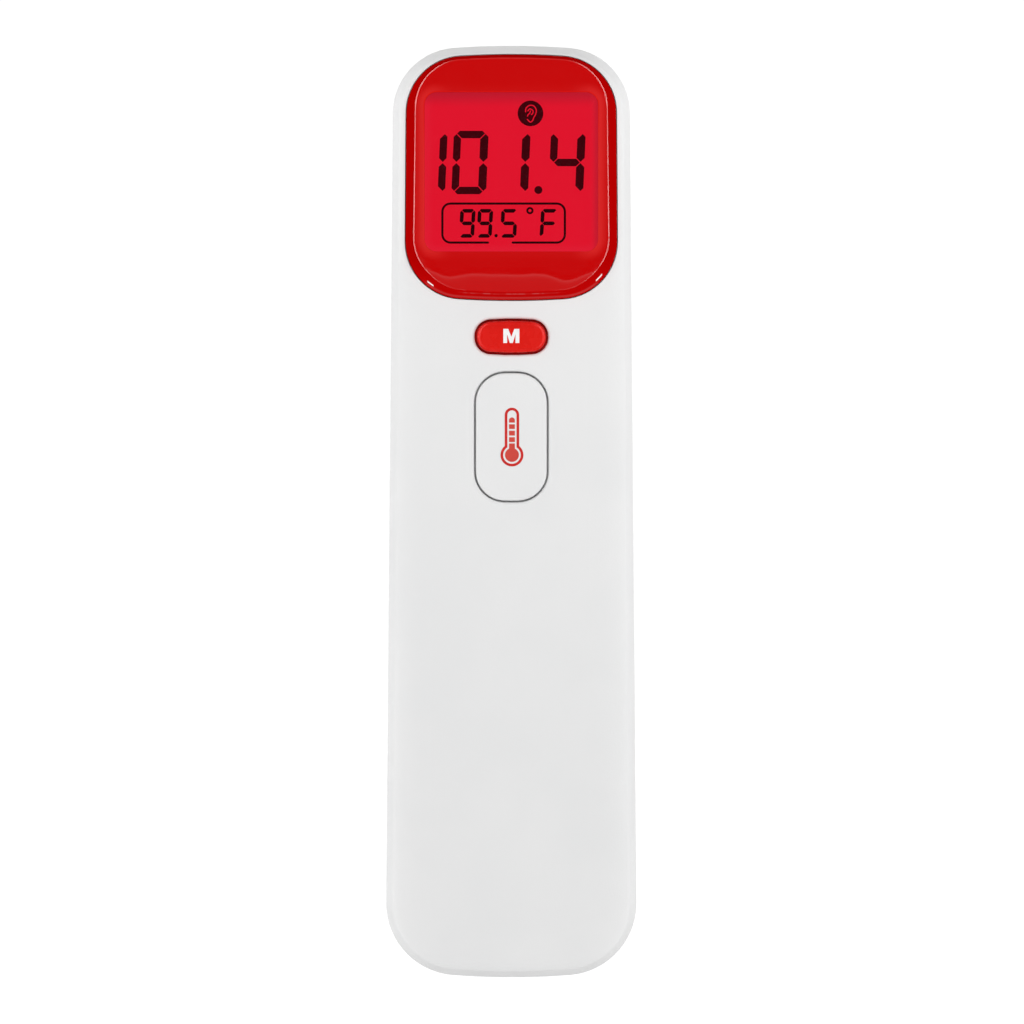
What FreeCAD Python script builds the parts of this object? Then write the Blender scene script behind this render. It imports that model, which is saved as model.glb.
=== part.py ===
import FreeCAD, Part
import math
import os
import sys

import Sketcher

# Infrared ear and forehead thermometer with a bar-shaped body.
#
# Frame while modelling: +Z runs up the body, the display faces -Y, the probe looks along +Y,
# and Y = 0 is the parting plane between the front and rear shells. Each finished sub-part is
# then shifted along Y by Dims.frame_shift, so that the origin lies under the centre of the
# whole thermometer's bounding box. Lengths are in millimetres.

Vector = FreeCAD.Vector
Constraint = Sketcher.Constraint

DIMENSIONS = {
    # Outline of the body seen from the front: four corner arcs joined by straight tapering
    # sides and by shallow bowed ends.
    "body_low": 0.0,
    "body_length": 150.0,
    "body_bottom_half": 20.15,
    "body_top_half": 19.1,
    "body_bottom_corner": 11.6,
    "body_top_corner": 10.6,
    "body_bottom_bow": 120.0,
    "body_top_bow": 130.0,
    # Depths of the shells on either side of the parting plane.
    "wall": 1.8,
    "seam": 0.22,
    "front_depth": 8.2,
    "front_band": 6.0,
    "front_draft": 1.0,
    "front_roll": 6.2,
    "rear_depth": 11.0,
    "rear_band": 5.5,
    "rear_draft": 0.7,
    "rear_roll": 6.3,
    "core_roll": 2.07,
    # Display lens: foot outline, and the smaller face outline that stands proud of it.
    "lens_low": 109.0,
    "lens_length": 39.45,
    "lens_bottom_half": 17.0,
    "lens_top_half": 16.85,
    "lens_bottom_corner": 9.2,
    "lens_top_corner": 9.1,
    "lens_bottom_bow": 132.0,
    "lens_top_bow": 128.0,
    "face_low": 110.9,
    "face_length": 37.15,
    "face_bottom_half": 15.75,
    "face_top_half": 15.45,
    "face_bottom_corner": 8.0,
    "face_top_corner": 7.8,
    "face_bottom_bow": 120.0,
    "face_top_bow": 126.0,
    "lens_gap": 0.16,
    "lens_foot": 6.05,
    "lens_shoulder": 8.25,
    "lens_front": 9.7,
    "lens_ceiling": 8.4,
    "lens_wall": 1.5,
    "lens_edge": 0.32,
    "lens_scoop_radius": 16.0,
    "lens_scoop_start": 114.2,
    "ledge_front": 5.85,
    "ledge_back": 4.7,
    "ledge_reach": 0.4,
    # Liquid crystal display and its backlight.
    "view_centre": 129.6,
    "view_width": 27.9,
    "view_height": 25.6,
    "view_corner": 2.0,
    "glass_half": 14.5,
    "glass_low": 113.6,
    "glass_top": 143.1,
    "glass_front": 7.85,
    "glass_sheet": 0.9,
    "film": 0.13,
    "contact_ledge": 2.4,
    "guide_thickness": 3.0,
    "holder_half": 16.0,
    "holder_low": 111.6,
    "holder_top": 145.3,
    "holder_corner": 7.0,
    # Buttons.
    "mode_low": 100.55,
    "mode_length": 5.1,
    "mode_bottom_half": 5.55,
    "mode_top_half": 5.55,
    "mode_bottom_corner": 2.3,
    "mode_top_corner": 2.3,
    "mode_bottom_bow": 45.0,
    "mode_top_bow": 45.0,
    "scan_low": 76.75,
    "scan_length": 20.5,
    "scan_bottom_half": 5.7,
    "scan_top_half": 5.7,
    "scan_bottom_corner": 4.7,
    "scan_top_corner": 4.7,
    "scan_bottom_bow": 40.0,
    "scan_top_bow": 40.0,
    "mode_gap": 0.38,
    "scan_gap": 0.28,
    "button_travel": 0.4,
    "mode_edge": 0.65,
    "scan_edge": 0.45,
    "mode_rise": 0.55,
    "scan_rise": 0.1,
    "hole_lead": 0.5,
    "flange_reach": 0.95,
    "flange_thickness": 0.9,
    "post_radius": 2.0,
    # Push switches on the main board.
    "switch_width": 6.0,
    "switch_height": 3.1,
    "plunger_radius": 1.7,
    "plunger_out": 1.0,
    "plunger_bury": 0.6,
    "slip": 0.1,
    # Main board.
    "board_front": 0.8,
    "board_thickness": 1.2,
    "board_half": 16.0,
    "board_low": 71.8,
    "board_top": 146.6,
    "board_corner": 8.4,
    "board_screw_x": 13.0,
    "board_screw_low": 76.5,
    "board_screw_high": 106.0,
    "board_screw_length": 5.4,
    "buzzer_z": 103.5,
    "buzzer_radius": 6.0,
    # Screws and their bosses.
    "boss_radius": 2.4,
    "thread_radius": 1.0,
    "thread_slack": 0.03,
    "head_radius": 1.8,
    "head_height": 1.3,
    "case_screw_x": 12.8,
    "case_screw_z": 68.6,
    "case_screw_seat": 2.7,
    "case_screw_length": 7.0,
    "counterbore": 2.15,
    "bay_screw_low": 14.0,
    "bay_screw_high": 53.0,
    "bay_screw_length": 3.9,
    # Battery bay for two AAA cells, and its sliding door.
    "cell_radius": 5.2,
    "cell_spacing": 5.35,
    "cell_length": 44.5,
    "cell_y": 2.9,
    "cell_nub_radius": 1.9,
    "cell_nub": 1.0,
    "bay_half": 11.1,
    "bay_low": 8.0,
    "bay_top": 59.5,
    "bay_wall": 1.2,
    "bay_floor": 2.5,
    "contact_sheet": 0.4,
    "contact_bump": 0.8,
    "spring_wire": 0.3,
    "spring_radius": 3.2,
    "spring_room": 5.4,
    "door_half": 12.4,
    "door_top": 63.4,
    "door_gap": 0.1,
    "rail_half": 13.3,
    "rail_top": 62.0,
    "rail_back": 8.4,
    "rail_front": 9.1,
    # Probe. Its axis is parallel to Y.
    "probe_z": 129.0,
    "collar_radius": 12.8,
    "collar_end": 15.4,
    "flare_radius": 15.0,
    "flare_start": 10.4,
    "flare_height": 3.0,
    "head_floor": 8.8,
    "nose_radius": 8.6,
    "nose_straight": 18.6,
    "nose_tip_radius": 4.5,
    "nose_end": 33.6,
    "nose_flange": 13.0,
    "nose_flange_back": 7.2,
    "nose_bore": 7.2,
    "tip_bore": 3.0,
    "probe_screw_reach": 10.8,
    "probe_screw_end": 13.4,
    "cap_start": 15.5,
    "cap_end": 36.0,
    "cap_base_radius": 12.75,
    "cap_end_radius": 10.4,
    "cap_mouth": 5.8,
    "cap_slip": 0.07,
    "cap_wall": 1.4,
    "cap_ring_end": 17.9,
    "magnet_radius": 1.5,
    "magnet_length": 1.5,
    # Origin of the finished part.
    "frame_shift": -13.15,
}

doc = FreeCAD.newDocument("thermometer")
sheet = doc.addObject("Spreadsheet::Sheet", "Dims")
finished = {}


def fill_sheet():
    """Writes every driving dimension into the sheet, one per row, and gives it its alias."""
    for row, (alias, number) in enumerate(DIMENSIONS.items(), start=1):
        sheet.set(f"A{row}", alias)
        sheet.set(f"B{row}", str(number))
        sheet.setAlias(f"B{row}", alias)
    doc.recompute()


def value(expression):
    """The number that an expression on the sheet comes to."""
    return float(sheet.evalExpression(str(expression)))


def bind(thing, **expressions):
    """Binds properties to expressions; a double underscore in a name stands for a dot."""
    for name, expression in expressions.items():
        thing.setExpression(name.replace("__", "."), str(expression))
    return thing


def finish(thing, label):
    """Marks a finished sub-part: gives it its label and moves it to the part's own origin."""
    thing.Label = label
    bound = dict(thing.ExpressionEngine)
    own = bound.get(".Placement.Base.y", bound.get("Placement.Base.y", "0"))
    bind(thing, Placement__Base__y=f"{own} + Dims.frame_shift")
    finished[label] = thing
    return thing


# --- Sketches -----------------------------------------------------------------------------


def new_body(name):
    return doc.addObject("PartDesign::Body", name)


def new_sketch(body, name, plane, x="0", y="0", offset="0"):
    """A sketch on one of the body's origin planes, moved by expressions in the plane's axes."""
    sketch = body.newObject("Sketcher::SketchObject", name)
    support = next(o for o in body.Origin.OriginFeatures if o.Role == plane)
    sketch.AttachmentSupport = [(support, "")]
    sketch.MapMode = "FlatFace"
    return bind(
        sketch,
        AttachmentOffset__Base__x=x,
        AttachmentOffset__Base__y=y,
        AttachmentOffset__Base__z=offset,
    )


def front_sketch(body, name, y, x="0", z="0"):
    """A sketch square to Y at depth y. The XZ plane's own normal points along -Y."""
    return new_sketch(body, name, "XZ_Plane", x, z, f"-({y})")


def size(sketch, kind, where, expression, label):
    """Adds a dimension to a sketch and binds it to the sheet."""
    index = sketch.addConstraint(Constraint(kind, *where, value(expression)))
    sketch.renameConstraint(index, label)
    sketch.setExpression(f"Constraints.{label}", str(expression))


def arc_between(centre, radius, start, end):
    """A counter-clockwise arc about centre, from the direction of start to that of end."""
    first = math.atan2(start.y - centre.y, start.x - centre.x)
    last = math.atan2(end.y - centre.y, end.x - centre.x)
    circle = Part.Circle(centre, Vector(0, 0, 1), radius)
    return Part.ArcOfCircle(circle, first, last)


def bowed_outline(body, name, family, y, inset="0"):
    """Closed outline of one family of dimensions at depth y, set in by inset all round.

    Every inset keeps the same arc centres, so the outlines of one family are parallel curves.
    """
    get = {
        key: f"Dims.{family}_{key}"
        for key in (
            "low length bottom_half top_half bottom_corner top_corner bottom_bow top_bow"
        ).split()
    }
    number = {key: value(expression) for key, expression in get.items()}
    step = value(inset)
    low_x = number["bottom_half"] - number["bottom_corner"]
    top_x = number["top_half"] - number["top_corner"]
    low_bow = Vector(0, number["bottom_bow"], 0)
    top_bow = Vector(0, number["length"] - number["top_bow"], 0)
    low_reach = number["bottom_bow"] - number["bottom_corner"]
    top_reach = number["top_bow"] - number["top_corner"]
    low = Vector(low_x, low_bow.y - math.sqrt(low_reach**2 - low_x**2), 0)
    top = Vector(top_x, top_bow.y + math.sqrt(top_reach**2 - top_x**2), 0)
    low_radius = number["bottom_corner"] - step
    top_radius = number["top_corner"] - step
    # Direction of the outward normal of the straight side that touches both corner arcs.
    side = top - low
    turn = math.atan2(side.y, side.x) - math.acos((low_radius - top_radius) / side.Length)
    normal = Vector(math.cos(turn), math.sin(turn), 0)
    side_low = low + normal * low_radius
    side_top = top + normal * top_radius
    low_end = low_bow + (low - low_bow).normalize() * (number["bottom_bow"] - step)
    top_end = top_bow + (top - top_bow).normalize() * (number["top_bow"] - step)

    def left(point):
        return Vector(-point.x, point.y, 0)

    sketch = front_sketch(body, name, y, z=get["low"])
    sketch.addGeometry(
        [
            arc_between(low_bow, number["bottom_bow"] - step, left(low_end), low_end),
            arc_between(low, low_radius, low_end, side_low),
            Part.LineSegment(side_low, side_top),
            arc_between(top, top_radius, side_top, top_end),
            arc_between(top_bow, number["top_bow"] - step, top_end, left(top_end)),
            arc_between(left(top), top_radius, left(top_end), left(side_top)),
            Part.LineSegment(left(side_top), left(side_low)),
            arc_between(left(low), low_radius, left(side_low), left(low_end)),
        ],
        False,
    )
    for index in range(8):
        sketch.addConstraint(Constraint("Tangent", index, 2, (index + 1) % 8, 1))
    for arc, end in ((0, "bottom"), (4, "top")):
        size(sketch, "Radius", (arc,), f"{get[end + '_bow']} - ({inset})", f"{end}_bow")
        sketch.addConstraint(Constraint("PointOnObject", arc, 3, -2))
    for arc, end in ((1, "bottom"), (7, "bottom"), (3, "top"), (5, "top")):
        radius = f"{get[end + '_corner']} - ({inset})"
        size(sketch, "Radius", (arc,), radius, f"corner_{arc}")
        across = (-1, 1, arc, 3) if arc in (1, 3) else (arc, 3, -1, 1)
        centre = f"{get[end + '_half']} - {get[end + '_corner']}"
        size(sketch, "DistanceX", across, centre, f"centre_{arc}")
    size(sketch, "DistanceY", (-1, 1, 0, 3), get["bottom_bow"], "bottom_centre")
    if top_bow.y > 0:
        rise = f"{get['length']} - {get['top_bow']}"
        size(sketch, "DistanceY", (-1, 1, 4, 3), rise, "top_centre")
    else:
        drop = f"{get['top_bow']} - {get['length']}"
        size(sketch, "DistanceY", (4, 3, -1, 1), drop, "top_centre")
    return sketch


def rounded_rectangle(sketch, width, height, radius):
    """Draws a rectangle with rounded corners, centred on the sketch's origin."""
    half_w, half_h, r = value(width) / 2, value(height) / 2, value(radius)
    corners = [(-1, -1), (1, -1), (1, 1), (-1, 1)]
    centres = [Vector(sx * (half_w - r), sy * (half_h - r), 0) for sx, sy in corners]
    outward = [Vector(-1, 0, 0), Vector(0, -1, 0), Vector(1, 0, 0), Vector(0, 1, 0)]
    geometry = []
    for index in range(4):
        centre, after = centres[index], centres[(index + 1) % 4]
        enter, leave = outward[index] * r, outward[(index + 1) % 4] * r
        geometry.append(arc_between(centre, r, centre + enter, centre + leave))
        geometry.append(Part.LineSegment(centre + leave, after + leave))
    sketch.addGeometry(geometry, False)
    for index in range(8):
        sketch.addConstraint(Constraint("Tangent", index, 2, (index + 1) % 8, 1))
    for line, kind in ((1, "Horizontal"), (3, "Vertical"), (5, "Horizontal"), (7, "Vertical")):
        sketch.addConstraint(Constraint(kind, line))
    for arc in (2, 4, 6):
        sketch.addConstraint(Constraint("Equal", 0, arc))
    sketch.addConstraint(Constraint("Symmetric", 0, 3, 4, 3, -1, 1))
    size(sketch, "Radius", (0,), radius, "corner")
    size(sketch, "DistanceX", (7, 1, 3, 1), width, "width")
    size(sketch, "DistanceY", (1, 1, 5, 1), height, "height")
    return sketch


def rectangle(sketch, width, height):
    """Draws a sharp rectangle centred on the sketch's origin."""
    half_w, half_h = value(width) / 2, value(height) / 2
    corners = ((-1, -1), (1, -1), (1, 1), (-1, 1))
    points = [Vector(sx * half_w, sy * half_h, 0) for sx, sy in corners]
    sides = [Part.LineSegment(points[i], points[(i + 1) % 4]) for i in range(4)]
    sketch.addGeometry(sides, False)
    for index in range(4):
        sketch.addConstraint(Constraint("Coincident", index, 2, (index + 1) % 4, 1))
        sketch.addConstraint(Constraint("Vertical" if index % 2 else "Horizontal", index))
    sketch.addConstraint(Constraint("Symmetric", 0, 1, 2, 1, -1, 1))
    size(sketch, "DistanceX", (0, 1, 0, 2), width, "width")
    size(sketch, "DistanceY", (1, 1, 1, 2), height, "height")
    return sketch


def circle(sketch, radius):
    """Draws a circle about the sketch's origin."""
    sketch.addGeometry(Part.Circle(Vector(0, 0, 0), Vector(0, 0, 1), value(radius)), False)
    sketch.addConstraint(Constraint("Coincident", 0, 3, -1, 1))
    size(sketch, "Radius", (0,), radius, "radius")
    return sketch


# --- PartDesign features --------------------------------------------------------------------


def extrude(body, sketch, y0, y1, remove=False):
    """Pads or pockets a sketch that lies at y0, as far as y1, which is further along +Y."""
    kind = "PartDesign::Pocket" if remove else "PartDesign::Pad"
    feature = body.newObject(kind, sketch.Name + ("_cut" if remove else "_pad"))
    feature.Profile = sketch
    feature.Reversed = not remove
    return bind(feature, Length=f"({y1}) - ({y0})")


def plate(body, name, width, height, radius, x, z, y0, y1, remove=False):
    """A rounded rectangular block or pocket between two depths, centred on x and z."""
    sketch = front_sketch(body, name, y0, x, z)
    if radius is None:
        rectangle(sketch, width, height)
    else:
        rounded_rectangle(sketch, width, height, radius)
    return extrude(body, sketch, y0, y1, remove)


def disc(body, name, radius, x, z, y0, y1, remove=False):
    """A round boss or hole parallel to Y between two depths."""
    return extrude(body, circle(front_sketch(body, name, y0, x, z), radius), y0, y1, remove)


def outline_plate(body, name, family, inset, y0, y1, remove=False):
    """A block or pocket with a bowed outline between two depths."""
    return extrude(body, bowed_outline(body, name, family, y0, inset), y0, y1, remove)


def loft(body, name, sections, ruled=False, remove=False):
    """A loft through bowed outlines, each given as (family, depth, inset)."""
    kind = "PartDesign::SubtractiveLoft" if remove else "PartDesign::AdditiveLoft"
    sketches = [
        bowed_outline(body, f"{name}_{index}", family, depth, inset)
        for index, (family, depth, inset) in enumerate(sections)
    ]
    feature = body.newObject(kind, name)
    feature.Profile = sketches[0]
    feature.Sections = sketches[1:]
    feature.Ruled = ruled
    return feature


def rolled_sections(sign, start, depth, first_inset, width, count=6):
    """Body sections of a quarter-elliptical roll, from the side wall round to the flat."""
    sections = []
    for index in range(count):
        turn = math.pi / 2 * index / (count - 1)
        reach = f"({start}) + ({depth} - ({start})) * {math.sin(turn):.6f}"
        inset = f"({first_inset}) + ({width}) * {1 - math.cos(turn):.6f}"
        sections.append(("body", f"{sign}({reach})", inset))
    return sections


def revolve(body, name, points, z="Dims.probe_z", remove=False):
    """A solid of revolution about the line parallel to Y at height z.

    Each point is (distance along Y, radius).
    """
    sketch = new_sketch(body, name + "_profile", "YZ_Plane", y=z)
    spots = [Vector(value(p[0]), value(p[1]), 0) for p in points]
    count = len(spots)
    sketch.addGeometry(
        [Part.LineSegment(spots[i], spots[(i + 1) % count]) for i in range(count)], False
    )
    for index in range(count):
        sketch.addConstraint(Constraint("Coincident", index, 2, (index + 1) % count, 1))
    for index, point in enumerate(points):
        along = (-1, 1, index, 1) if spots[index].x >= 0 else (index, 1, -1, 1)
        distance = point[0] if spots[index].x >= 0 else f"-({point[0]})"
        size(sketch, "DistanceX", along, distance, f"along_{index}")
        if spots[index].y == 0:
            sketch.addConstraint(Constraint("PointOnObject", index, 1, -1))
        else:
            size(sketch, "DistanceY", (-1, 1, index, 1), point[1], f"radius_{index}")
    kind = "PartDesign::Groove" if remove else "PartDesign::Revolution"
    feature = body.newObject(kind, name)
    feature.Profile = sketch
    feature.ReferenceAxis = (sketch, ["H_Axis"])
    feature.Angle = 360
    return feature


def round_edges(body, radius, wanted, chamfer=False):
    """Fillets or chamfers the edges of the body's last feature that wanted() picks."""
    doc.recompute()
    base = body.Tip
    names = [f"Edge{i}" for i, edge in enumerate(base.Shape.Edges, 1) if wanted(edge)]
    if not names:
        sys.exit(f"{body.Name}: no edge to round after {base.Name}")
    kind = "Chamfer" if chamfer else "Fillet"
    feature = body.newObject(f"PartDesign::{kind}", f"{base.Name}_{kind.lower()}")
    feature.Base = (base, names)
    return bind(feature, **{"Size" if chamfer else "Radius": radius})


def near(number, expression, slack=0.01):
    return abs(number - value(expression)) < slack


def lies_at(edge, y):
    """Whether the whole edge lies in the plane at depth y."""
    box = edge.BoundBox
    return near(box.YMin, y) and near(box.YMax, y)


# --- Part primitives and booleans -----------------------------------------------------------

ALONG_Y = FreeCAD.Rotation(Vector(1, 0, 0), -90)


def place(thing, x, y, z):
    return bind(thing, Placement__Base__x=x, Placement__Base__y=y, Placement__Base__z=z)


def box(name, x, y, z, width, depth, height):
    """A block centred on x, running depth from y and height from z."""
    block = doc.addObject("Part::Box", name)
    bind(block, Length=width, Width=depth, Height=height)
    return place(block, f"({x}) - ({width}) / 2", y, z)


def rod_y(name, x, y, z, radius, length):
    """A cylinder parallel to Y that starts at y."""
    rod = doc.addObject("Part::Cylinder", name)
    rod.Placement.Rotation = ALONG_Y
    bind(rod, Radius=radius, Height=length)
    return place(rod, x, y, z)


def rod_z(name, x, y, z, radius, length):
    """A cylinder parallel to Z that starts at z."""
    rod = doc.addObject("Part::Cylinder", name)
    bind(rod, Radius=radius, Height=length)
    return place(rod, x, y, z)


def fuse(name, things):
    joined = doc.addObject("Part::MultiFuse", name)
    joined.Shapes = things
    return joined


def cut(name, base, tools):
    difference = doc.addObject("Part::Cut", name)
    difference.Base = base
    difference.Tool = tools[0] if len(tools) == 1 else fuse(name + "_tools", tools)
    return difference


def common(name, things):
    shared = doc.addObject("Part::MultiCommon", name)
    shared.Shapes = things
    return shared


def group(name, things):
    """Separate solids that share one node."""
    together = doc.addObject("Part::Compound", name)
    together.Links = things
    return together


# --- Front shell, lens and buttons ----------------------------------------------------------


def front_shell():
    body = new_body("front_shell_body")
    band = [("body", "0", "Dims.seam"), ("body", "-Dims.seam", "0")]
    band.append(("body", "-Dims.front_band", "Dims.front_draft"))
    loft(body, "front_band", band, ruled=True)
    roll = ("Dims.front_band", "Dims.front_depth", "Dims.front_draft", "Dims.front_roll")
    loft(body, "front_roll", rolled_sections("-", *roll))
    step = "Dims.front_depth - Dims.wall - Dims.core_roll"
    inset = "Dims.front_draft + Dims.wall - 0.3"
    walls = [("body", "0", "Dims.wall"), ("body", f"-({step})", inset)]
    loft(body, "front_hollow", walls, ruled=True, remove=True)
    core = (step, "(Dims.front_depth - Dims.wall)", inset, "Dims.front_roll - 0.8")
    loft(body, "front_hollow_roll", rolled_sections("-", *core, count=4), remove=True)
    lens_seat(body)
    for family in ("mode", "scan"):
        hole = (family, f"-Dims.{family}_gap", "-Dims.front_depth - 1", "-Dims.front_depth + 3")
        outline_plate(body, f"{family}_hole", *hole, remove=True)
    round_edges(body, "Dims.hole_lead", is_button_rim)
    for number, (x, z, end) in enumerate(pillar_places()):
        start = "-Dims.front_depth + Dims.wall - 0.3"
        pilot = "Dims.thread_radius + Dims.thread_slack"
        disc(body, f"pillar_{number}", "Dims.boss_radius", x, z, start, end)
        disc(body, f"pilot_{number}", pilot, x, z, start, end, remove=True)
    finish(body, "front_shell")


def lens_seat(body):
    """The ledge that carries the lens, its recess, and the opening the display shines through."""
    ledge = ("lens", "-Dims.ledge_reach", "-Dims.front_band", "-Dims.ledge_back")
    outline_plate(body, "lens_ledge", *ledge)
    recess = ("lens", "-Dims.lens_gap", "-Dims.lens_front", "-Dims.ledge_front")
    outline_plate(body, "lens_recess", *recess, remove=True)
    opening = ("2 * Dims.glass_half + 1.2", "Dims.glass_top - Dims.glass_low + 0.8", "1.2")
    middle = ("0", "(Dims.glass_top + Dims.glass_low) / 2")
    depths = ("-Dims.front_band - 0.5", "-Dims.ledge_back + 0.5")
    plate(body, "display_opening", *opening, *middle, *depths, remove=True)


def is_button_rim(edge):
    """Edges of the two button holes that lie in the flat front face."""
    reach = value("Dims.scan_top_half") + 1
    return (
        lies_at(edge, "-Dims.front_depth")
        and edge.BoundBox.ZMax < value("Dims.lens_low") - 1
        and edge.BoundBox.ZMin > value("Dims.scan_low") - 1
        and max(abs(edge.BoundBox.XMin), abs(edge.BoundBox.XMax)) < reach
    )


def pillar_places():
    """Screw pillars of the front shell as (x, z, depth of the free end)."""
    places = []
    for sign in ("", "-"):
        for level in ("Dims.board_screw_low", "Dims.board_screw_high"):
            places.append((f"{sign}Dims.board_screw_x", level, "-Dims.board_front"))
        places.append((f"{sign}Dims.case_screw_x", "Dims.case_screw_z", "0"))
    for level in ("Dims.bay_screw_low", "Dims.bay_screw_high"):
        places.append(("0", level, "-Dims.bay_floor - Dims.bay_wall - 0.05"))
    return places


def display_lens():
    body = new_body("display_lens_body")
    outline_plate(body, "lens_foot", "lens", "0", "-Dims.lens_shoulder", "-Dims.lens_foot")
    slope = [("lens", "-Dims.lens_shoulder", "0"), ("face", "-Dims.lens_front", "0")]
    loft(body, "lens_slope", slope, ruled=True)
    lens_scoop(body)
    round_edges(body, "Dims.lens_edge", is_lens_rim)
    inside = ("lens", "Dims.lens_wall", "-Dims.lens_ceiling", "-Dims.lens_foot + 0.1")
    outline_plate(body, "lens_hollow", *inside, remove=True)
    finish(body, "display_lens")


def lens_scoop(body):
    """Bends the foot of the lens face back along an arc that leaves the face smoothly."""
    sketch = new_sketch(body, "lens_scoop", "YZ_Plane", y="Dims.lens_scoop_start")
    radius = value("Dims.lens_scoop_radius")
    front = value("-Dims.lens_front")
    fall = -(value("Dims.lens_scoop_start") - value("Dims.lens_low") - 0.5)
    centre = Vector(front + radius, 0, 0)
    low = Vector(centre.x - math.sqrt(radius**2 - fall**2), fall, 0)
    start = Vector(front, 0, 0)
    far = Vector(front - 1, 0, 0)
    far_low = Vector(far.x, fall, 0)
    arc = arc_between(centre, radius, start, low)
    corners = [low, far_low, far, start]
    lines = [Part.LineSegment(a, b) for a, b in zip(corners, corners[1:])]
    sketch.addGeometry([arc] + lines, False)
    for index in range(4):
        sketch.addConstraint(Constraint("Coincident", index, 2, (index + 1) % 4, 1))
    sketch.addConstraint(Constraint("Horizontal", 1))
    sketch.addConstraint(Constraint("Vertical", 2))
    sketch.addConstraint(Constraint("PointOnObject", 0, 3, -1))
    sketch.addConstraint(Constraint("PointOnObject", 0, 1, -1))
    sketch.addConstraint(Constraint("PointOnObject", 3, 1, -1))
    size(sketch, "Radius", (0,), "Dims.lens_scoop_radius", "radius")
    size(sketch, "DistanceX", (0, 1, -1, 1), "Dims.lens_front", "front")
    size(sketch, "DistanceX", (3, 1, 0, 1), "1", "clearance")
    drop = "Dims.lens_scoop_start - Dims.lens_low - 0.5"
    size(sketch, "DistanceY", (0, 2, -1, 1), drop, "drop")
    feature = body.newObject("PartDesign::Pocket", "lens_scoop_cut")
    feature.Profile = sketch
    feature.Midplane = True
    bind(feature, Length="4 * Dims.lens_bottom_half")


def is_lens_rim(edge):
    """Outer edges of the lens face, leaving out the line where the scoop begins."""
    bounds = edge.BoundBox
    in_face = bounds.YMax < value("-Dims.lens_front") + 0.75
    straight_across = bounds.ZLength < 0.001 and near(bounds.ZMin, "Dims.lens_scoop_start")
    return in_face and not straight_across


def lens_gasket():
    body = new_body("lens_gasket_body")
    depths = ("-Dims.lens_foot + 0.02", "-Dims.ledge_front - 0.02")
    outline_plate(body, "gasket", "lens", "0.1", *depths)
    outline_plate(body, "gasket_inside", "lens", "0.9", *depths, remove=True)
    finish(body, "lens_gasket")


def window_mask():
    """A printed film behind the lens that leaves only the display's viewing area clear."""
    body = new_body("window_mask_body")
    depths = ("-Dims.lens_ceiling", "-Dims.lens_ceiling + Dims.film")
    outline_plate(body, "mask", "lens", "Dims.lens_wall + 0.1", *depths)
    window = ("Dims.view_width", "Dims.view_height", "Dims.view_corner", "0", "Dims.view_centre")
    plate(body, "mask_window", *window, *depths, remove=True)
    finish(body, "window_mask")


def button(family, rise):
    """A key cap in its hole, with a flange behind the wall and a post down to its switch."""
    body = new_body(f"{family}_button_body")
    wall = "-Dims.front_depth + Dims.wall + 0.05"
    front = f"-Dims.front_depth - ({rise})"
    outline_plate(body, f"{family}_cap", family, "0", front, wall)
    round_edges(body, f"Dims.{family}_edge", lambda edge: lies_at(edge, front))
    flange_end = f"({wall}) + Dims.flange_thickness"
    outline_plate(body, f"{family}_flange", family, "-Dims.flange_reach", wall, flange_end)
    middle = f"Dims.{family}_low + Dims.{family}_length / 2"
    disc(body, f"{family}_post", "Dims.post_radius", "0", middle, flange_end, plunger_front())
    finish(body, f"{family}_button")


# --- Display --------------------------------------------------------------------------------


def display_sheet(name, corner, low, top, y0, thickness, half="Dims.glass_half"):
    """One rounded rectangular layer of the display stack."""
    body = new_body(f"{name}_body")
    middle = f"(({low}) + ({top})) / 2"
    outline = (f"2 * ({half})", f"({top}) - ({low})", corner)
    plate(body, name + "_sheet", *outline, "0", middle, y0, f"({y0}) + ({thickness})")
    return body


def display_stack():
    """Two glass plates between two polarizers, then the light guide and its reflector."""
    front = "-Dims.glass_front"
    low, top = "Dims.glass_low", "Dims.glass_top"
    inner_low = "Dims.glass_low + Dims.contact_ledge"
    rear = f"{front} + Dims.glass_sheet"
    guide = f"{front} + 2 * Dims.glass_sheet + Dims.film"
    film = "Dims.film"
    glass = display_sheet("front_plate", "2", low, top, front, "Dims.glass_sheet")
    finish(glass, "lcd_front_glass")
    glass = display_sheet("rear_plate", "2", inner_low, top, rear, "Dims.glass_sheet")
    finish(glass, "lcd_rear_glass")
    cover = ("2", f"{inner_low} + 0.3", f"{top} - 0.3")
    films = [
        display_sheet("front_film", *cover, f"{front} - Dims.film", film, "Dims.glass_half - 0.3"),
        display_sheet("rear_film", *cover, f"{guide} - Dims.film", film, "Dims.glass_half - 0.3"),
    ]
    finish(group("polarizer_pair", films), "lcd_polarizers")
    block = display_sheet("guide", "1", inner_low, top, guide, "Dims.guide_thickness")
    finish(block, "light_guide")
    behind = f"{guide} + Dims.guide_thickness"
    sheet_body = display_sheet("reflector", "1", inner_low, top, behind, "Dims.film")
    finish(sheet_body, "reflector_sheet")


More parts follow.
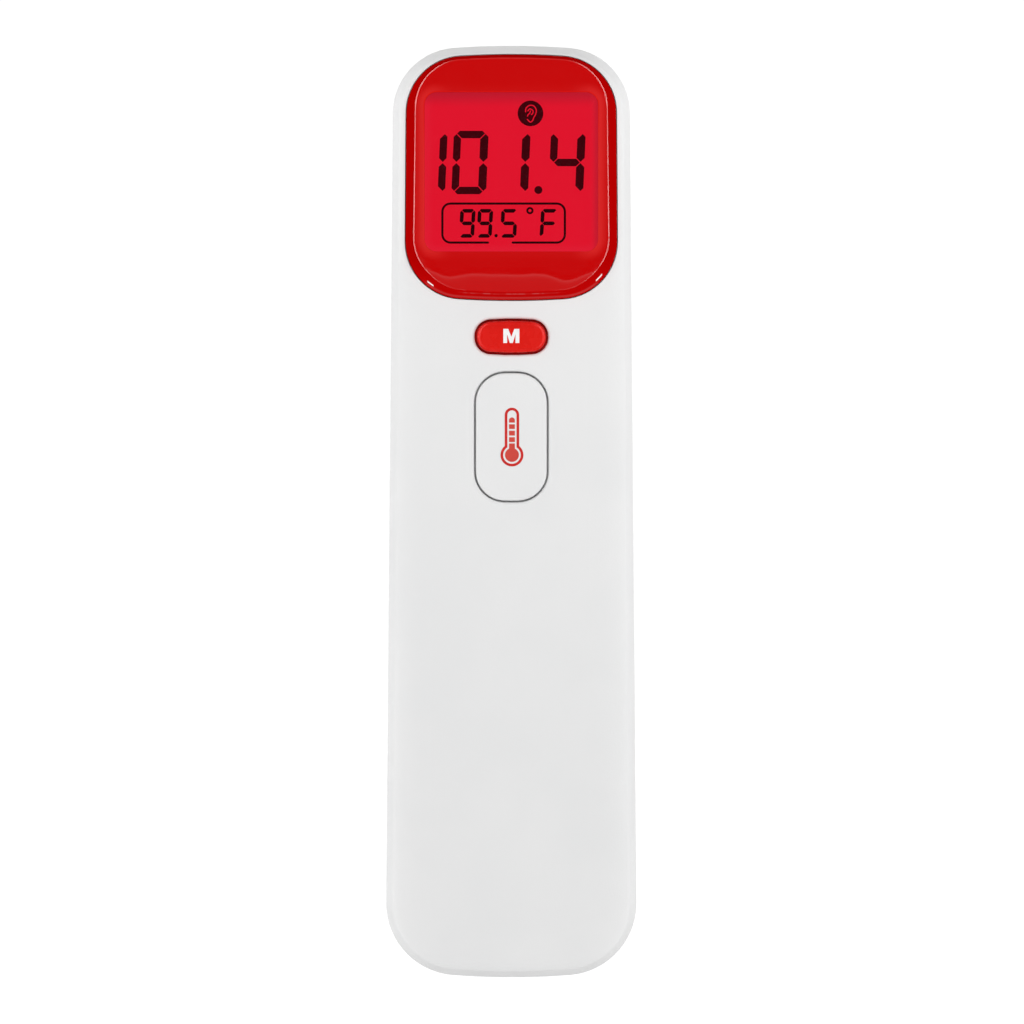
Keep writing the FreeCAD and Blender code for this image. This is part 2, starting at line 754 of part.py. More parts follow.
def display_holder():
    """The frame between lens ledge and main board that keeps the display stack in place."""
    body = new_body("display_holder_body")
    front = "-Dims.ledge_back + 0.05"
    width = "2 * Dims.holder_half"
    height = "Dims.holder_top - Dims.holder_low"
    middle = "(Dims.holder_top + Dims.holder_low) / 2"
    depths = (front, "-Dims.board_front")
    plate(body, "holder", width, height, "Dims.holder_corner", "0", middle, *depths)
    inner_low = "Dims.glass_low + Dims.contact_ledge"
    bed = "-Dims.glass_front + 2 * Dims.glass_sheet + 2 * Dims.film + Dims.guide_thickness"
    height = f"Dims.glass_top - ({inner_low}) + 0.2"
    middle = f"(Dims.glass_top + ({inner_low})) / 2"
    plate(body, "bed", "2 * Dims.glass_half + 0.2", height, "1", "0", middle, front, bed, True)
    plate(body, "lamp_slot", "23", "1.7", None, "0", "Dims.glass_top + 0.8", front, bed, True)
    strip_z = "Dims.glass_low + Dims.contact_ledge / 2"
    plate(body, "strip_slot", "26.2", "2", None, "0", strip_z, *depths, True)
    window = ("24", "18", "2", "0", "Dims.view_centre")
    plate(body, "back_window", *window, bed, "-Dims.board_front", True)
    finish(body, "display_holder")


def zebra_strip():
    """The striped rubber connector between the board and the ledge of the front glass."""
    y = "-Dims.glass_front + Dims.glass_sheet + 0.02"
    depth = f"-Dims.board_front - 0.02 - ({y})"
    z = "Dims.glass_low + Dims.contact_ledge / 2 - 0.9"
    finish(box("strip", "0", y, z, "26", depth, "1.8"), "zebra_strip")


def backlight_leds():
    lamps = []
    y = "-Dims.glass_front + 2 * Dims.glass_sheet + 2 * Dims.film + Dims.guide_thickness - 1.2"
    for number in range(4):
        x = f"{number - 1.5} * 6"
        lamps.append(box(f"lamp_{number}", x, y, "Dims.glass_top + 0.1", "2.8", "1.2", "1.3"))
    finish(group("lamps", lamps), "backlight_leds")


# --- Main board -----------------------------------------------------------------------------


def board_back():
    return "-Dims.board_front + Dims.board_thickness"


def main_board():
    body = new_body("main_board_body")
    height = "Dims.board_top - Dims.board_low"
    middle = "(Dims.board_top + Dims.board_low) / 2"
    outline = ("2 * Dims.board_half", height, "Dims.board_corner", "0", middle)
    depths = ("-Dims.board_front", board_back())
    plate(body, "board", *outline, *depths)
    for x, z in board_screw_places():
        hole = ("Dims.thread_radius + 0.15", x, z)
        disc(body, f"board_hole_{len(body.Group)}", *hole, *depths, remove=True)
    finish(body, "main_board")


def board_screw_places():
    levels = ("Dims.board_screw_low", "Dims.board_screw_high")
    return [(f"{sign}Dims.board_screw_x", level) for sign in ("", "-") for level in levels]


def chip(label, x, z, width, height, depth):
    """A component soldered to the back of the main board, centred on x and z."""
    low = f"({z}) - ({height}) / 2"
    return box(label + "_block", x, board_back(), low, width, depth, height)


def board_components():
    finish(chip("processor", "-6", "90", "10", "10", "1.2"), "processor_chip")
    finish(chip("memory", "8", "84", "5", "4", "1.4"), "memory_chip")
    finish(chip("crystal", "-6", "80", "3.2", "8", "2.4"), "crystal_can")
    places = [(3 + 2.6 * column, 91 + 3.2 * row) for row in range(2) for column in range(4)]
    chips = [chip(f"capacitor_{n}", x, z, "1.2", "2", "0.9") for n, (x, z) in enumerate(places)]
    finish(group("capacitors", chips), "chip_capacitors")
    finish(chip("connector", "0", "113.5", "8", "3", "2.2"), "cable_connector")


def buzzer():
    """A round sounder with a sound hole, standing on the back of the board."""
    can = rod_y("buzzer_can", "0", board_back(), "Dims.buzzer_z", "Dims.buzzer_radius", "5")
    port = f"{board_back()} + 4"
    hole = rod_y("buzzer_port", "0", port, "Dims.buzzer_z", "1", "1.5")
    finish(cut("buzzer_body", can, [hole]), "buzzer")


def plunger_front():
    return "-Dims.board_front - Dims.switch_height - Dims.plunger_out"


def switch(family):
    """A push switch on the front of the board, and its plunger as a second sub-part."""
    middle = f"Dims.{family}_low + Dims.{family}_length / 2"
    low = f"{middle} - Dims.switch_width / 2"
    face = "-Dims.board_front - Dims.switch_height"
    width = "Dims.switch_width"
    case = box(f"{family}_case", "0", face, low, width, "Dims.switch_height", width)
    bore_depth = "Dims.plunger_bury + Dims.button_travel + 0.2"
    radius = "Dims.plunger_radius + Dims.slip"
    bore = rod_y(f"{family}_bore", "0", f"{face} - 0.1", middle, radius, f"{bore_depth} + 0.1")
    finish(cut(f"{family}_switch_body", case, [bore]), f"{family}_switch")
    reach = "Dims.plunger_out + Dims.plunger_bury"
    rod = (f"{family}_plunger_rod", "0", plunger_front(), middle, "Dims.plunger_radius", reach)
    finish(rod_y(*rod), f"{family}_plunger")


def screw(name, x, z, seat, length, way=1):
    """A pan-head screw parallel to Y; its head stands on the seat, on the side way names."""
    under = f"({seat}) - Dims.head_height"
    head_y, thread_y = (seat, f"({seat}) - ({length})") if way > 0 else (under, seat)
    head = rod_y(f"{name}_head", x, head_y, z, "Dims.head_radius", "Dims.head_height")
    thread = rod_y(f"{name}_thread", x, thread_y, z, "Dims.thread_radius", length)
    blade_y = f"({seat}) + Dims.head_height - 0.7" if way > 0 else f"{under} - 0.1"
    slots = [
        box(f"{name}_slot_wide", x, blade_y, f"({z}) - 0.25", "2.2", "0.8", "0.5"),
        box(f"{name}_slot_tall", x, blade_y, f"({z}) - 1.1", "0.5", "0.8", "2.2"),
    ]
    return cut(f"{name}_body", fuse(f"{name}_blank", [head, thread]), slots)


def screws():
    board = [
        screw(f"board_screw_{n}", x, z, board_back(), "Dims.board_screw_length")
        for n, (x, z) in enumerate(board_screw_places())
    ]
    finish(group("board_screw_set", board), "board_screws")
    seat = ("Dims.case_screw_z", "Dims.case_screw_seat", "Dims.case_screw_length")
    case = [
        screw(f"case_screw_{n}", f"{sign}Dims.case_screw_x", *seat)
        for n, sign in enumerate(("", "-"))
    ]
    finish(group("case_screw_set", case), "case_screws")
    seat = ("-Dims.bay_floor", "Dims.bay_screw_length")
    bay = [
        screw(f"bay_screw_{level}", "0", f"Dims.bay_screw_{level}", *seat)
        for level in ("low", "high")
    ]
    finish(group("bay_screw_set", bay), "bay_screws")


# --- Rear shell and battery door ------------------------------------------------------------


def rear_outer_form(name):
    """The rear half's outer form: a drafted side band, then a roll onto the flat back."""
    body = new_body(name)
    band = [("body", "0", "Dims.seam"), ("body", "Dims.seam", "0")]
    band.append(("body", "Dims.rear_band", "Dims.rear_draft"))
    loft(body, f"{name}_band", band, ruled=True)
    roll = ("Dims.rear_band", "Dims.rear_depth", "Dims.rear_draft", "Dims.rear_roll")
    loft(body, f"{name}_roll", rolled_sections("", *roll))
    return body


def rear_inner_form():
    """The room inside the rear half, before anything is built into it."""
    body = new_body("rear_inner")
    step = "Dims.rear_depth - Dims.wall - Dims.core_roll"
    inset = "Dims.rear_draft + Dims.wall - 0.3"
    walls = [("body", "-0.5", "Dims.wall"), ("body", step, inset)]
    loft(body, "rear_room", walls, ruled=True)
    core = (step, "(Dims.rear_depth - Dims.wall)", inset, "Dims.rear_roll - 0.8")
    loft(body, "rear_room_roll", rolled_sections("", *core, count=4))
    return body


def bay_block(name, wall, y, y_end, top_extra="0"):
    """The battery bay's room grown by a wall all round, between two depths."""
    width = f"2 * (Dims.bay_half + {wall})"
    height = f"Dims.bay_top - Dims.bay_low + 2 * {wall} + {top_extra}"
    return box(name, "0", y, f"Dims.bay_low - {wall}", width, f"({y_end}) - ({y})", height)


def collar():
    """The flared collar around the probe at the back of the head."""
    body = new_body("collar")
    start = "Dims.flare_start - 1.5"
    points = [(start, "0"), (start, "Dims.flare_radius")]
    for index in range(9):
        turn = math.pi / 2 * index / 8
        along = f"Dims.flare_start + Dims.flare_height * {1 - math.cos(turn):.6f}"
        narrow = f"(Dims.flare_radius - Dims.collar_radius) * {math.sin(turn):.6f}"
        points.append((along, f"Dims.flare_radius - {narrow}"))
    points += [("Dims.collar_end - 0.4", "Dims.collar_radius")]
    points += [("Dims.collar_end", "Dims.collar_radius - 0.4"), ("Dims.collar_end", "0")]
    revolve(body, "collar_solid", points)
    return body


def rear_shell():
    outer = rear_outer_form("rear_outer")
    column = "Dims.counterbore + 1.15"
    columns = [
        rod_y(f"column_{n}", f"{sign}Dims.case_screw_x", "0.05", "Dims.case_screw_z", column, "12")
        for n, sign in enumerate(("", "-"))
    ]
    bed_width = "2 * (Dims.rail_half + 0.9)"
    bed = ("Dims.rail_back - 1.5", "-1", bed_width, "6", "Dims.door_top + 2.4")
    rail_bed = box("rail_bed", "0", *bed)
    head_floor = rod_y("head_floor", "0", "Dims.head_floor", "Dims.probe_z", "16.6", "6")
    tray_inside = bay_block("tray_inside", "Dims.bay_wall", "-0.6", "12")
    solid_parts = columns + [rail_bed, head_floor, tray_inside]
    room = cut("rear_room_left", rear_inner_form(), solid_parts)
    walls = cut("rear_walls", outer, [room])
    tray_floor = "-Dims.bay_floor - Dims.bay_wall"
    tray = bay_block("tray", "Dims.bay_wall", tray_floor, "Dims.rail_back - 0.5")
    blank = fuse("rear_blank", [walls, tray, collar()])
    finish(cut("rear_shell_body", blank, rear_openings()), "rear_shell")


def rear_openings():
    """Everything that is cut out of the rear shell after its walls are joined."""
    tools = [bay_block("bay_room", "0", "-Dims.bay_floor", "12")]
    tools += door_blocks("door_way", "Dims.door_gap", "-3")
    for n, sign in enumerate(("", "-")):
        spot = (f"{sign}Dims.case_screw_x", "Dims.case_screw_z")
        bore = ("Dims.thread_radius + 0.3", "20")
        sink = ("Dims.counterbore", "20")
        tools.append(rod_y(f"case_bore_{n}", spot[0], "-1", spot[1], *bore))
        tools.append(rod_y(f"case_sink_{n}", spot[0], "Dims.case_screw_seat", spot[1], *sink))
        x = f"{sign}Dims.probe_screw_reach"
        start = "Dims.head_floor - 1"
        pilot = ("Dims.thread_radius + Dims.thread_slack", f"Dims.probe_screw_end - ({start})")
        tools.append(rod_y(f"probe_pilot_{n}", x, start, "Dims.probe_z", *pilot))
        x = f"{sign}Dims.cell_spacing"
        tab = (f"{x}", "-0.5", "Dims.bay_top - 0.1", "2.2", "0.6", "Dims.bay_wall + 0.2")
        tools.append(box(f"tab_slot_{n}", *tab))
        level = f"Dims.bay_screw_{('low', 'high')[n]}"
        bore = ("Dims.thread_radius + 0.15", "Dims.bay_wall + 1")
        start = "-Dims.bay_floor - Dims.bay_wall - 0.5"
        tools.append(rod_y(f"bay_bore_{n}", "0", start, level, *bore))
    room = ("Dims.nose_radius + 0.1", "12")
    tools.append(rod_y("nose_room", "0", "Dims.head_floor - 1", "Dims.probe_z", *room))
    for column in (-2, -1, 0, 1, 2):
        hole = (f"{2.4 * column}", "8", "Dims.buzzer_z", "0.6", "4")
        tools.append(rod_y(f"sound_hole_{column}", *hole))
    return tools


def door_blocks(name, gap, low):
    """Panel and rail of the battery door as two blocks, both grown by a gap."""
    panel_size = (f"2 * (Dims.door_half + {gap})", "4", f"Dims.door_top + {gap} - ({low})")
    panel = box(f"{name}_panel", "0", f"Dims.rail_front - {gap}", low, *panel_size)
    rail_depth = f"Dims.rail_front - Dims.rail_back + 2 * {gap}"
    rail_height = f"Dims.rail_top + {gap} - ({low})"
    rail_size = (f"2 * (Dims.rail_half + {gap})", rail_depth, rail_height)
    rail = box(f"{name}_rail", "0", f"Dims.rail_back - {gap}", low, *rail_size)
    return [panel, rail]


def battery_door():
    """The sliding door: its blocks trimmed to the rear outer form, with grip grooves."""
    blank = fuse("door_blank", door_blocks("door", "0", "-3"))
    trimmed = common("door_trimmed", [rear_outer_form("door_form"), blank])
    floor = "Dims.rear_depth - 0.5"
    grooves = [
        box(f"grip_{n}", "0", floor, f"Dims.door_top - {7 + 1.9 * n}", "12", "2", "0.9")
        for n in range(5)
    ]
    arrow = doc.addObject("Part::Prism", "door_arrow")
    arrow.Polygon = 3
    bind(arrow, Circumradius="2.6", Height="2")
    arrow.Placement.Rotation = ALONG_Y.multiply(FreeCAD.Rotation(Vector(0, 0, 1), 90))
    place(arrow, "0", "Dims.rear_depth - 0.4", "Dims.door_top - 21")
    finish(cut("battery_door_body", trimmed, grooves + [arrow]), "battery_door")


# --- Batteries and their contacts -----------------------------------------------------------


def cell(label, side, bump_up):
    """An AAA cell with its shoulder and nub; bump_up tells which way the nub points."""
    x = f"{side} * Dims.cell_spacing"
    body = new_body(f"{label}_body")
    low = "Dims.bay_low + Dims.contact_sheet"
    top = "Dims.bay_top - Dims.contact_sheet"
    if bump_up:
        can_z = f"{top} - Dims.contact_bump - Dims.cell_length"
        nub_z = f"{top} - Dims.contact_bump - Dims.cell_nub - 0.2"
    else:
        can_z = f"{low} + Dims.contact_bump + Dims.cell_nub"
        nub_z = f"{low} + Dims.contact_bump"
    upright_pad(body, f"{label}_can", x, can_z, "Dims.cell_radius", "Dims.cell_length - Dims.cell_nub")
    round_edges(body, "0.6", lambda edge: edge.BoundBox.ZLength < 0.001)
    upright_pad(body, f"{label}_nub", x, nub_z, "Dims.cell_nub_radius", "Dims.cell_nub + 0.2")
    finish(body, label)


def upright_pad(body, name, x, z, radius, length):
    """A round pad parallel to Z on the axis of one cell."""
    sketch = new_sketch(body, name + "_profile", "XY_Plane", x, "Dims.cell_y", z)
    circle(sketch, radius)
    feature = body.newObject("PartDesign::Pad", name)
    feature.Profile = sketch
    bind(feature, Length=length)


def contact_plate(name, x, z, width):
    y = "Dims.cell_y - Dims.cell_radius + 0.5"
    return box(name, x, y, z, width, "2 * Dims.cell_radius - 1", "Dims.contact_sheet")


def contact_tab(name, x):
    """A tongue that carries the contact through the bay's end wall to its wire."""
    foot_y = "Dims.cell_y - Dims.cell_radius + 0.5"
    z = "Dims.bay_top - Dims.contact_sheet"
    height = "Dims.bay_wall + Dims.contact_sheet + 1"
    tongue = box(f"{name}_tongue", x, "-0.4", z, "2", "0.4", height)
    foot = box(f"{name}_foot", x, foot_y, z, "2", f"-({foot_y})", "Dims.contact_sheet")
    return [tongue, foot]


def contacts():
    """Bridge across the low ends of the cells, and the two contacts at their high ends."""
    left, right = "-Dims.cell_spacing", "Dims.cell_spacing"
    low, high = "Dims.bay_low", "Dims.bay_top - Dims.contact_sheet"
    bump_size = ("1.3", "Dims.contact_sheet + Dims.contact_bump")
    strip = contact_plate("bridge_strip", "0", low, "2 * Dims.bay_half - 0.6")
    bump = rod_z("bridge_bump", right, "Dims.cell_y", low, *bump_size)
    finish(fuse("bridge_body", [strip, bump]), "battery_bridge")
    width = "Dims.bay_half - 1.2"
    strip = contact_plate("positive_strip", left, high, width)
    bump_z = f"{high} - Dims.contact_bump"
    bump = rod_z("positive_bump", left, "Dims.cell_y", bump_z, *bump_size)
    pieces = [strip, bump] + contact_tab("positive", left)
    finish(fuse("positive_body", pieces), "positive_contact")
    strip = contact_plate("negative_strip", right, high, width)
    finish(fuse("negative_body", [strip] + contact_tab("negative", right)), "negative_contact")


def battery_spring(label, side, start):
    """A conical coil spring parallel to Z that presses on the flat end of a cell."""
    body = new_body(f"{label}_body")
    x = f"{side} * Dims.cell_spacing"
    wire = "Dims.spring_wire"
    sketch = new_sketch(body, f"{label}_wire", "XZ_Plane", x, f"{start} + {wire}", "-Dims.cell_y")
    centre = Vector(value("Dims.spring_radius"), 0, 0)
    sketch.addGeometry(Part.Circle(centre, Vector(0, 0, 1), value(wire)), False)
    sketch.addConstraint(Constraint("PointOnObject", 0, 3, -1))
    size(sketch, "DistanceX", (-1, 1, 0, 3), "Dims.spring_radius", "coil")
    size(sketch, "Radius", (0,), wire, "wire")
    helix = body.newObject("PartDesign::AdditiveHelix", f"{label}_coil")
    helix.Profile = sketch
    helix.ReferenceAxis = (sketch, ["V_Axis"])
    helix.Mode = "height-turns-angle"
    helix.Turns = 4
    gap = "Dims.bay_top - Dims.bay_low - 2 * Dims.contact_sheet - Dims.contact_bump"
    bind(helix, Height=f"{gap} - Dims.cell_length - 2 * {wire}")
    finish(body, label)


def wires():
    """Leads from the two upper contacts to the low edge of the main board."""
    start = "Dims.bay_top + Dims.bay_wall + 1"
    for name, side in (("positive", "-"), ("negative", "")):
        x = f"{side}Dims.cell_spacing"
        lead = rod_z(f"{name}_lead", x, "-0.2", start, "0.5", f"Dims.board_low - ({start})")
        finish(lead, f"{name}_wire")


# --- Probe ----------------------------------------------------------------------------------


def probe_nose():
    """The tapering probe: a flange and neck inside the case, the cap's seat, then a cone."""
    body = new_body("probe_nose_body")
    back, seat = "Dims.nose_flange_back", "Dims.nose_flange_back + 1.2"
    points = [
        (back, "Dims.nose_flange"),
        (seat, "Dims.nose_flange"),
        (seat, "Dims.nose_radius - 0.1"),
        ("Dims.cap_start", "Dims.nose_radius - 0.1"),
        ("Dims.cap_start", "Dims.nose_radius"),
        ("Dims.nose_straight", "Dims.nose_radius"),
        ("Dims.nose_end", "Dims.nose_tip_radius"),
        ("Dims.nose_end", "Dims.tip_bore - 0.4"),
        ("Dims.nose_end - 0.6", "Dims.tip_bore - 0.4"),
        ("Dims.nose_end - 0.6", "Dims.tip_bore"),
        ("Dims.nose_end - 1.8", "Dims.tip_bore"),
        ("Dims.nose_straight - 0.6", "Dims.nose_bore"),
        (back, "Dims.nose_bore"),
    ]
    revolve(body, "nose_turned", points)
    tip = value("Dims.nose_tip_radius")
    round_edges(body, "0.9", lambda e: lies_at(e, "Dims.nose_end") and e.BoundBox.XMax > tip - 0.1)
    for n, sign in enumerate(("", "-")):
        x = f"{sign}Dims.probe_screw_reach"
        hole = ("Dims.thread_radius + 0.15", x, "Dims.probe_z")
        disc(body, f"flange_hole_{n}", *hole, back, seat, remove=True)
    finish(body, "probe_nose")


def turned(label, points):
    """A sub-part that is one solid of revolution about the probe's axis."""
    body = new_body(f"{label}_body")
    revolve(body, f"{label}_turned", points)
    finish(body, label)


def probe_insides():
    back, front, edge = "Dims.nose_end - 1.2", "Dims.nose_end - 0.6", "Dims.tip_bore - 0.05"
    turned("probe_window", [(back, "0"), (back, edge), (front, edge), (front, "0")])
    turned("waveguide", [("17", "2.3"), ("17", "2.9"), (back, "2.9"), (back, "2.3")])
    board_end = "Dims.nose_flange_back + 1.2"
    outside = [(board_end, "6.9"), ("11", "6.9"), ("11", "5.4"), ("18.6", "5.4")]
    guide_seat = [("18.6", "2.95"), ("17", "2.95"), ("17", "2.2"), ("15.6", "2.2")]
    can_room = [("15.6", "2.9"), (board_end, "2.9")]
    turned("sensor_block", outside + guide_seat + can_room)
    thermopile(board_end)
    board = rod_y("sensor_disc", "0", "Dims.nose_flange_back + 0.2", "Dims.probe_z", "6.8", "1")
    finish(board, "sensor_board")
    hall_y = "Dims.nose_flange_back - 0.7"
    hall = box("hall_block", "-3", hall_y, "Dims.probe_z - 1.4", "1.6", "0.9", "2.9")
    finish(hall, "hall_switch")


def thermopile(board_end):
    """The infrared sensor: a can on a wider rim, with four legs down to its board."""
    can = rod_y("thermopile_can", "0", "12", "Dims.probe_z", "2.5", "3.55")
    rim = rod_y("thermopile_rim", "0", "11.5", "Dims.probe_z", "2.8", "0.5")
    legs = []
    for number in range(4):
        turn = math.pi / 4 + math.pi / 2 * number
        x = f"{1.3 * math.cos(turn):.4f}"
        z = f"Dims.probe_z + {1.3 * math.sin(turn):.4f}"
        legs.append(rod_y(f"leg_{number}", x, board_end, z, "0.2", f"11.5 - ({board_end})"))
    finish(fuse("thermopile_body", [can, rim] + legs), "thermopile")


def sensor_cable():
    """A flat cable from the sensor board, bent down to the connector on the main board."""
    bend = "Dims.probe_z - 3"
    run_y = "2.2"
    reach = f"Dims.nose_flange_back + 0.2 - ({run_y})"
    out = box("cable_out", "0", run_y, bend, "5", reach, "0.25")
    down = box("cable_down", "0", run_y, "115", "5", "0.25", f"{bend} - 115 + 0.25")
    finish(fuse("cable_body", [out, down]), "sensor_cable")


def probe_retainer():
    """The ring that clamps the probe's flange against the rear shell, and its two screws."""
    body = new_body("probe_retainer_body")
    back, front = "Dims.nose_flange_back - 1.2", "Dims.nose_flange_back"
    revolve(body, "retainer_ring", [(back, "5"), (back, "13"), (front, "13"), (front, "5")])
    pair = []
    for n, sign in enumerate(("", "-")):
        x = f"{sign}Dims.probe_screw_reach"
        hole = ("Dims.thread_radius + 0.15", x, "Dims.probe_z")
        disc(body, f"retainer_hole_{n}", *hole, back, front, remove=True)
        length = f"Dims.probe_screw_end - 0.4 - ({back})"
        pair.append(screw(f"probe_screw_{n}", x, "Dims.probe_z", back, length, way=-1))
    finish(body, "probe_retainer")
    finish(group("probe_screw_set", pair), "probe_screws")


def probe_seal():
    back, front = "Dims.nose_flange_back + 1.22", "Dims.head_floor - 0.02"
    inner, outer = "Dims.nose_radius + 0.06", "9.6"
    turned("probe_seal", [(back, inner), (back, outer), (front, outer), (front, inner)])


def probe_cap():
    """The pull-off cap for forehead readings: a base ring that fits the probe, then a cone."""
    body = new_body("probe_cap_body")
    inside = "Dims.cap_base_radius - Dims.cap_wall"
    points = [
        ("Dims.cap_start", "Dims.nose_radius + Dims.cap_slip"),
        ("Dims.cap_start", "Dims.cap_base_radius - 0.4"),
        ("Dims.cap_start + 0.4", "Dims.cap_base_radius"),
        ("Dims.cap_ring_end", "Dims.cap_base_radius"),
        ("Dims.cap_end", "Dims.cap_end_radius"),
        ("Dims.cap_end", "Dims.cap_mouth"),
        ("Dims.cap_end - Dims.cap_wall", "Dims.cap_mouth"),
        ("Dims.cap_end - Dims.cap_wall", "Dims.cap_end_radius - Dims.cap_wall"),
        ("Dims.cap_ring_end", inside),
        ("Dims.cap_ring_end", "Dims.nose_radius + Dims.cap_slip"),
    ]
    revolve(body, "cap_turned", points)
    end = value("Dims.cap_end_radius")
    round_edges(body, "1.1", lambda e: lies_at(e, "Dims.cap_end") and e.BoundBox.XMax > end - 0.1)
    magnets = []
    for n, sign in enumerate(("+", "-")):
        z = f"Dims.probe_z {sign} Dims.probe_screw_reach"
        bottom = "Dims.cap_start + 0.4"
        room = ("Dims.magnet_radius", "0", z, bottom, f"{bottom} + Dims.magnet_length")
        disc(body, f"magnet_room_{n}", *room, remove=True)
        spot = ("0", bottom, z, "Dims.magnet_radius - 0.02", "Dims.magnet_length")
        magnets.append(rod_y(f"magnet_{n}", *spot))
    finish(body, "probe_cap")
    finish(group("magnet_pair", magnets), "cap_magnets")


# --- Assembly -------------------------------------------------------------------------------


def main():
    fill_sheet()
    front_shell()
    display_lens()
    lens_gasket()
    window_mask()
    button("mode", "Dims.mode_rise")
    button("scan", "Dims.scan_rise")
    display_stack()
    display_holder()
    zebra_strip()
    backlight_leds()
    main_board()
    board_components()
    buzzer()
    switch("mode")
    switch("scan")
    screws()
    rear_shell()
    battery_door()
    cell("cell_left", "-1", bump_up=True)
    cell("cell_right", "1", bump_up=False)
    contacts()
    low_start = "Dims.bay_low + Dims.contact_sheet"
    high_start = "Dims.bay_top - Dims.contact_sheet - Dims.spring_room"
    battery_spring("lower_spring", "-1", low_start)
    battery_spring("upper_spring", "1", high_start)
    wires()
    probe_nose()
    probe_insides()
    sensor_cable()
    probe_retainer()
    probe_seal()
    probe_cap()
    doc.recompute()
    check_document()
    write_parts()


def check_document():
    """Stops if any object failed, or if a finished shape is empty or invalid."""
    bad = [o.Name for o in doc.Objects if {"Invalid", "Error"} & set(o.State)]
    if bad:
        sys.exit(f"failed objects: {bad}")
    for label, thing in finished.items():
        if thing.Shape.isNull() or not thing.Shape.isValid() or thing.Shape.Volume <= 0:
            sys.exit(f"{label} has no valid shape")


def write_parts():
    os.makedirs("parts", exist_ok=True)
    for label, thing in finished.items():
        thing.Shape.exportStep(os.path.join("parts", label + ".step"))
        solids = len(thing.Shape.Solids)
        print(f"{label}: {thing.Shape.Volume:.2f} mm3, {solids} solid(s)")


main()
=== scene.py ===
"""Looks for the infrared thermometer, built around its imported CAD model.

Everything is in metres in the CAD frame: +Z runs up the body, the display faces -Y and the
probe points along +Y. Lengths below are written in millimetres and scaled by MM.
"""

import math

import bmesh
import bpy
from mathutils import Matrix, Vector


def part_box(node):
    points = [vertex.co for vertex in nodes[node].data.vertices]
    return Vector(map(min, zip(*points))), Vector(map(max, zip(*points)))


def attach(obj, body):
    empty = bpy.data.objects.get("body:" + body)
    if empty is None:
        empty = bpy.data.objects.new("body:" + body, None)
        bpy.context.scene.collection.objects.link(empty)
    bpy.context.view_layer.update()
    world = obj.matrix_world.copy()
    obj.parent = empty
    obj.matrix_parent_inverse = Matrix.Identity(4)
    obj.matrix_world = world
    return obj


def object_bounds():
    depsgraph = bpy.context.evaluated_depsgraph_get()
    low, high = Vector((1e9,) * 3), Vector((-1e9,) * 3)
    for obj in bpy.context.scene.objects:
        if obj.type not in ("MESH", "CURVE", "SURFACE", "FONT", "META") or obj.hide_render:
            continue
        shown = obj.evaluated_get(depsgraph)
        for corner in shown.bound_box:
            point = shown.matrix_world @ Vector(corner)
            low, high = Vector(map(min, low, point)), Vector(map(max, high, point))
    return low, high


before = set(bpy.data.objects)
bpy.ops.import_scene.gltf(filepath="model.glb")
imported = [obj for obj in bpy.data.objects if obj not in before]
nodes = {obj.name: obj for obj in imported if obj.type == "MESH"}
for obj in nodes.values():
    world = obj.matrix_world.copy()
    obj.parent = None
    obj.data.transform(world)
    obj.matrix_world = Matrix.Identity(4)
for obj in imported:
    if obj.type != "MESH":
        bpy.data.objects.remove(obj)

MM = 0.001
cad_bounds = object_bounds()

# Places read from the CAD model.
lens_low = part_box("display_lens")[0]
mode_low, mode_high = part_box("mode_button")
scan_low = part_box("scan_button")[0]
body_low, body_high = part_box("front_shell")
SEAM_Y = body_high.y
DISPLAY_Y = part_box("lcd_polarizers")[0].y

# The display's viewing area, as in the CAD window mask.
VIEW_CENTRE_Z = 129.6 * MM
VIEW_HALF = (13.95 * MM, 12.8 * MM)
VIEW_CORNER = 2.0 * MM

# Colours as linear light: the casing, the lens with its painted glow, highlights and shade,
# the display, the buttons.
BODY_WHITE = (0.80, 0.80, 0.80)
LENS_RED = (0.55, 0.0022, 0.0025)
LENS_GLOW = (0.67, 0.018, 0.018)
LENS_SLOPE_SHADE = (0.41, 0.0003, 0.0003)
WINDOW_EDGE_HIGHLIGHT = (0.68, 0.006, 0.004)
LENS_INNER_GLOW = (0.26, 0.001, 0.003)
LENS_FOOT = (0.80, 0.76, 0.76)
RIM_HIGHLIGHT = (0.95, 0.88, 0.88)
DISPLAY_RED = (0.745, 0.0072, 0.0262)
DISPLAY_SHADE = (0.50, 0.010, 0.027)
SEGMENT_INK = (0.030, 0.0005, 0.0018)
FINE_INK = (0.006, 0.0002, 0.0006)
BUTTON_RED = (0.69, 0.009, 0.005)
ICON_RED = (0.47, 0.003, 0.0005)
ICON_FILL = (0.50, 0.040, 0.026)


# --- Node helpers ---------------------------------------------------------------------------


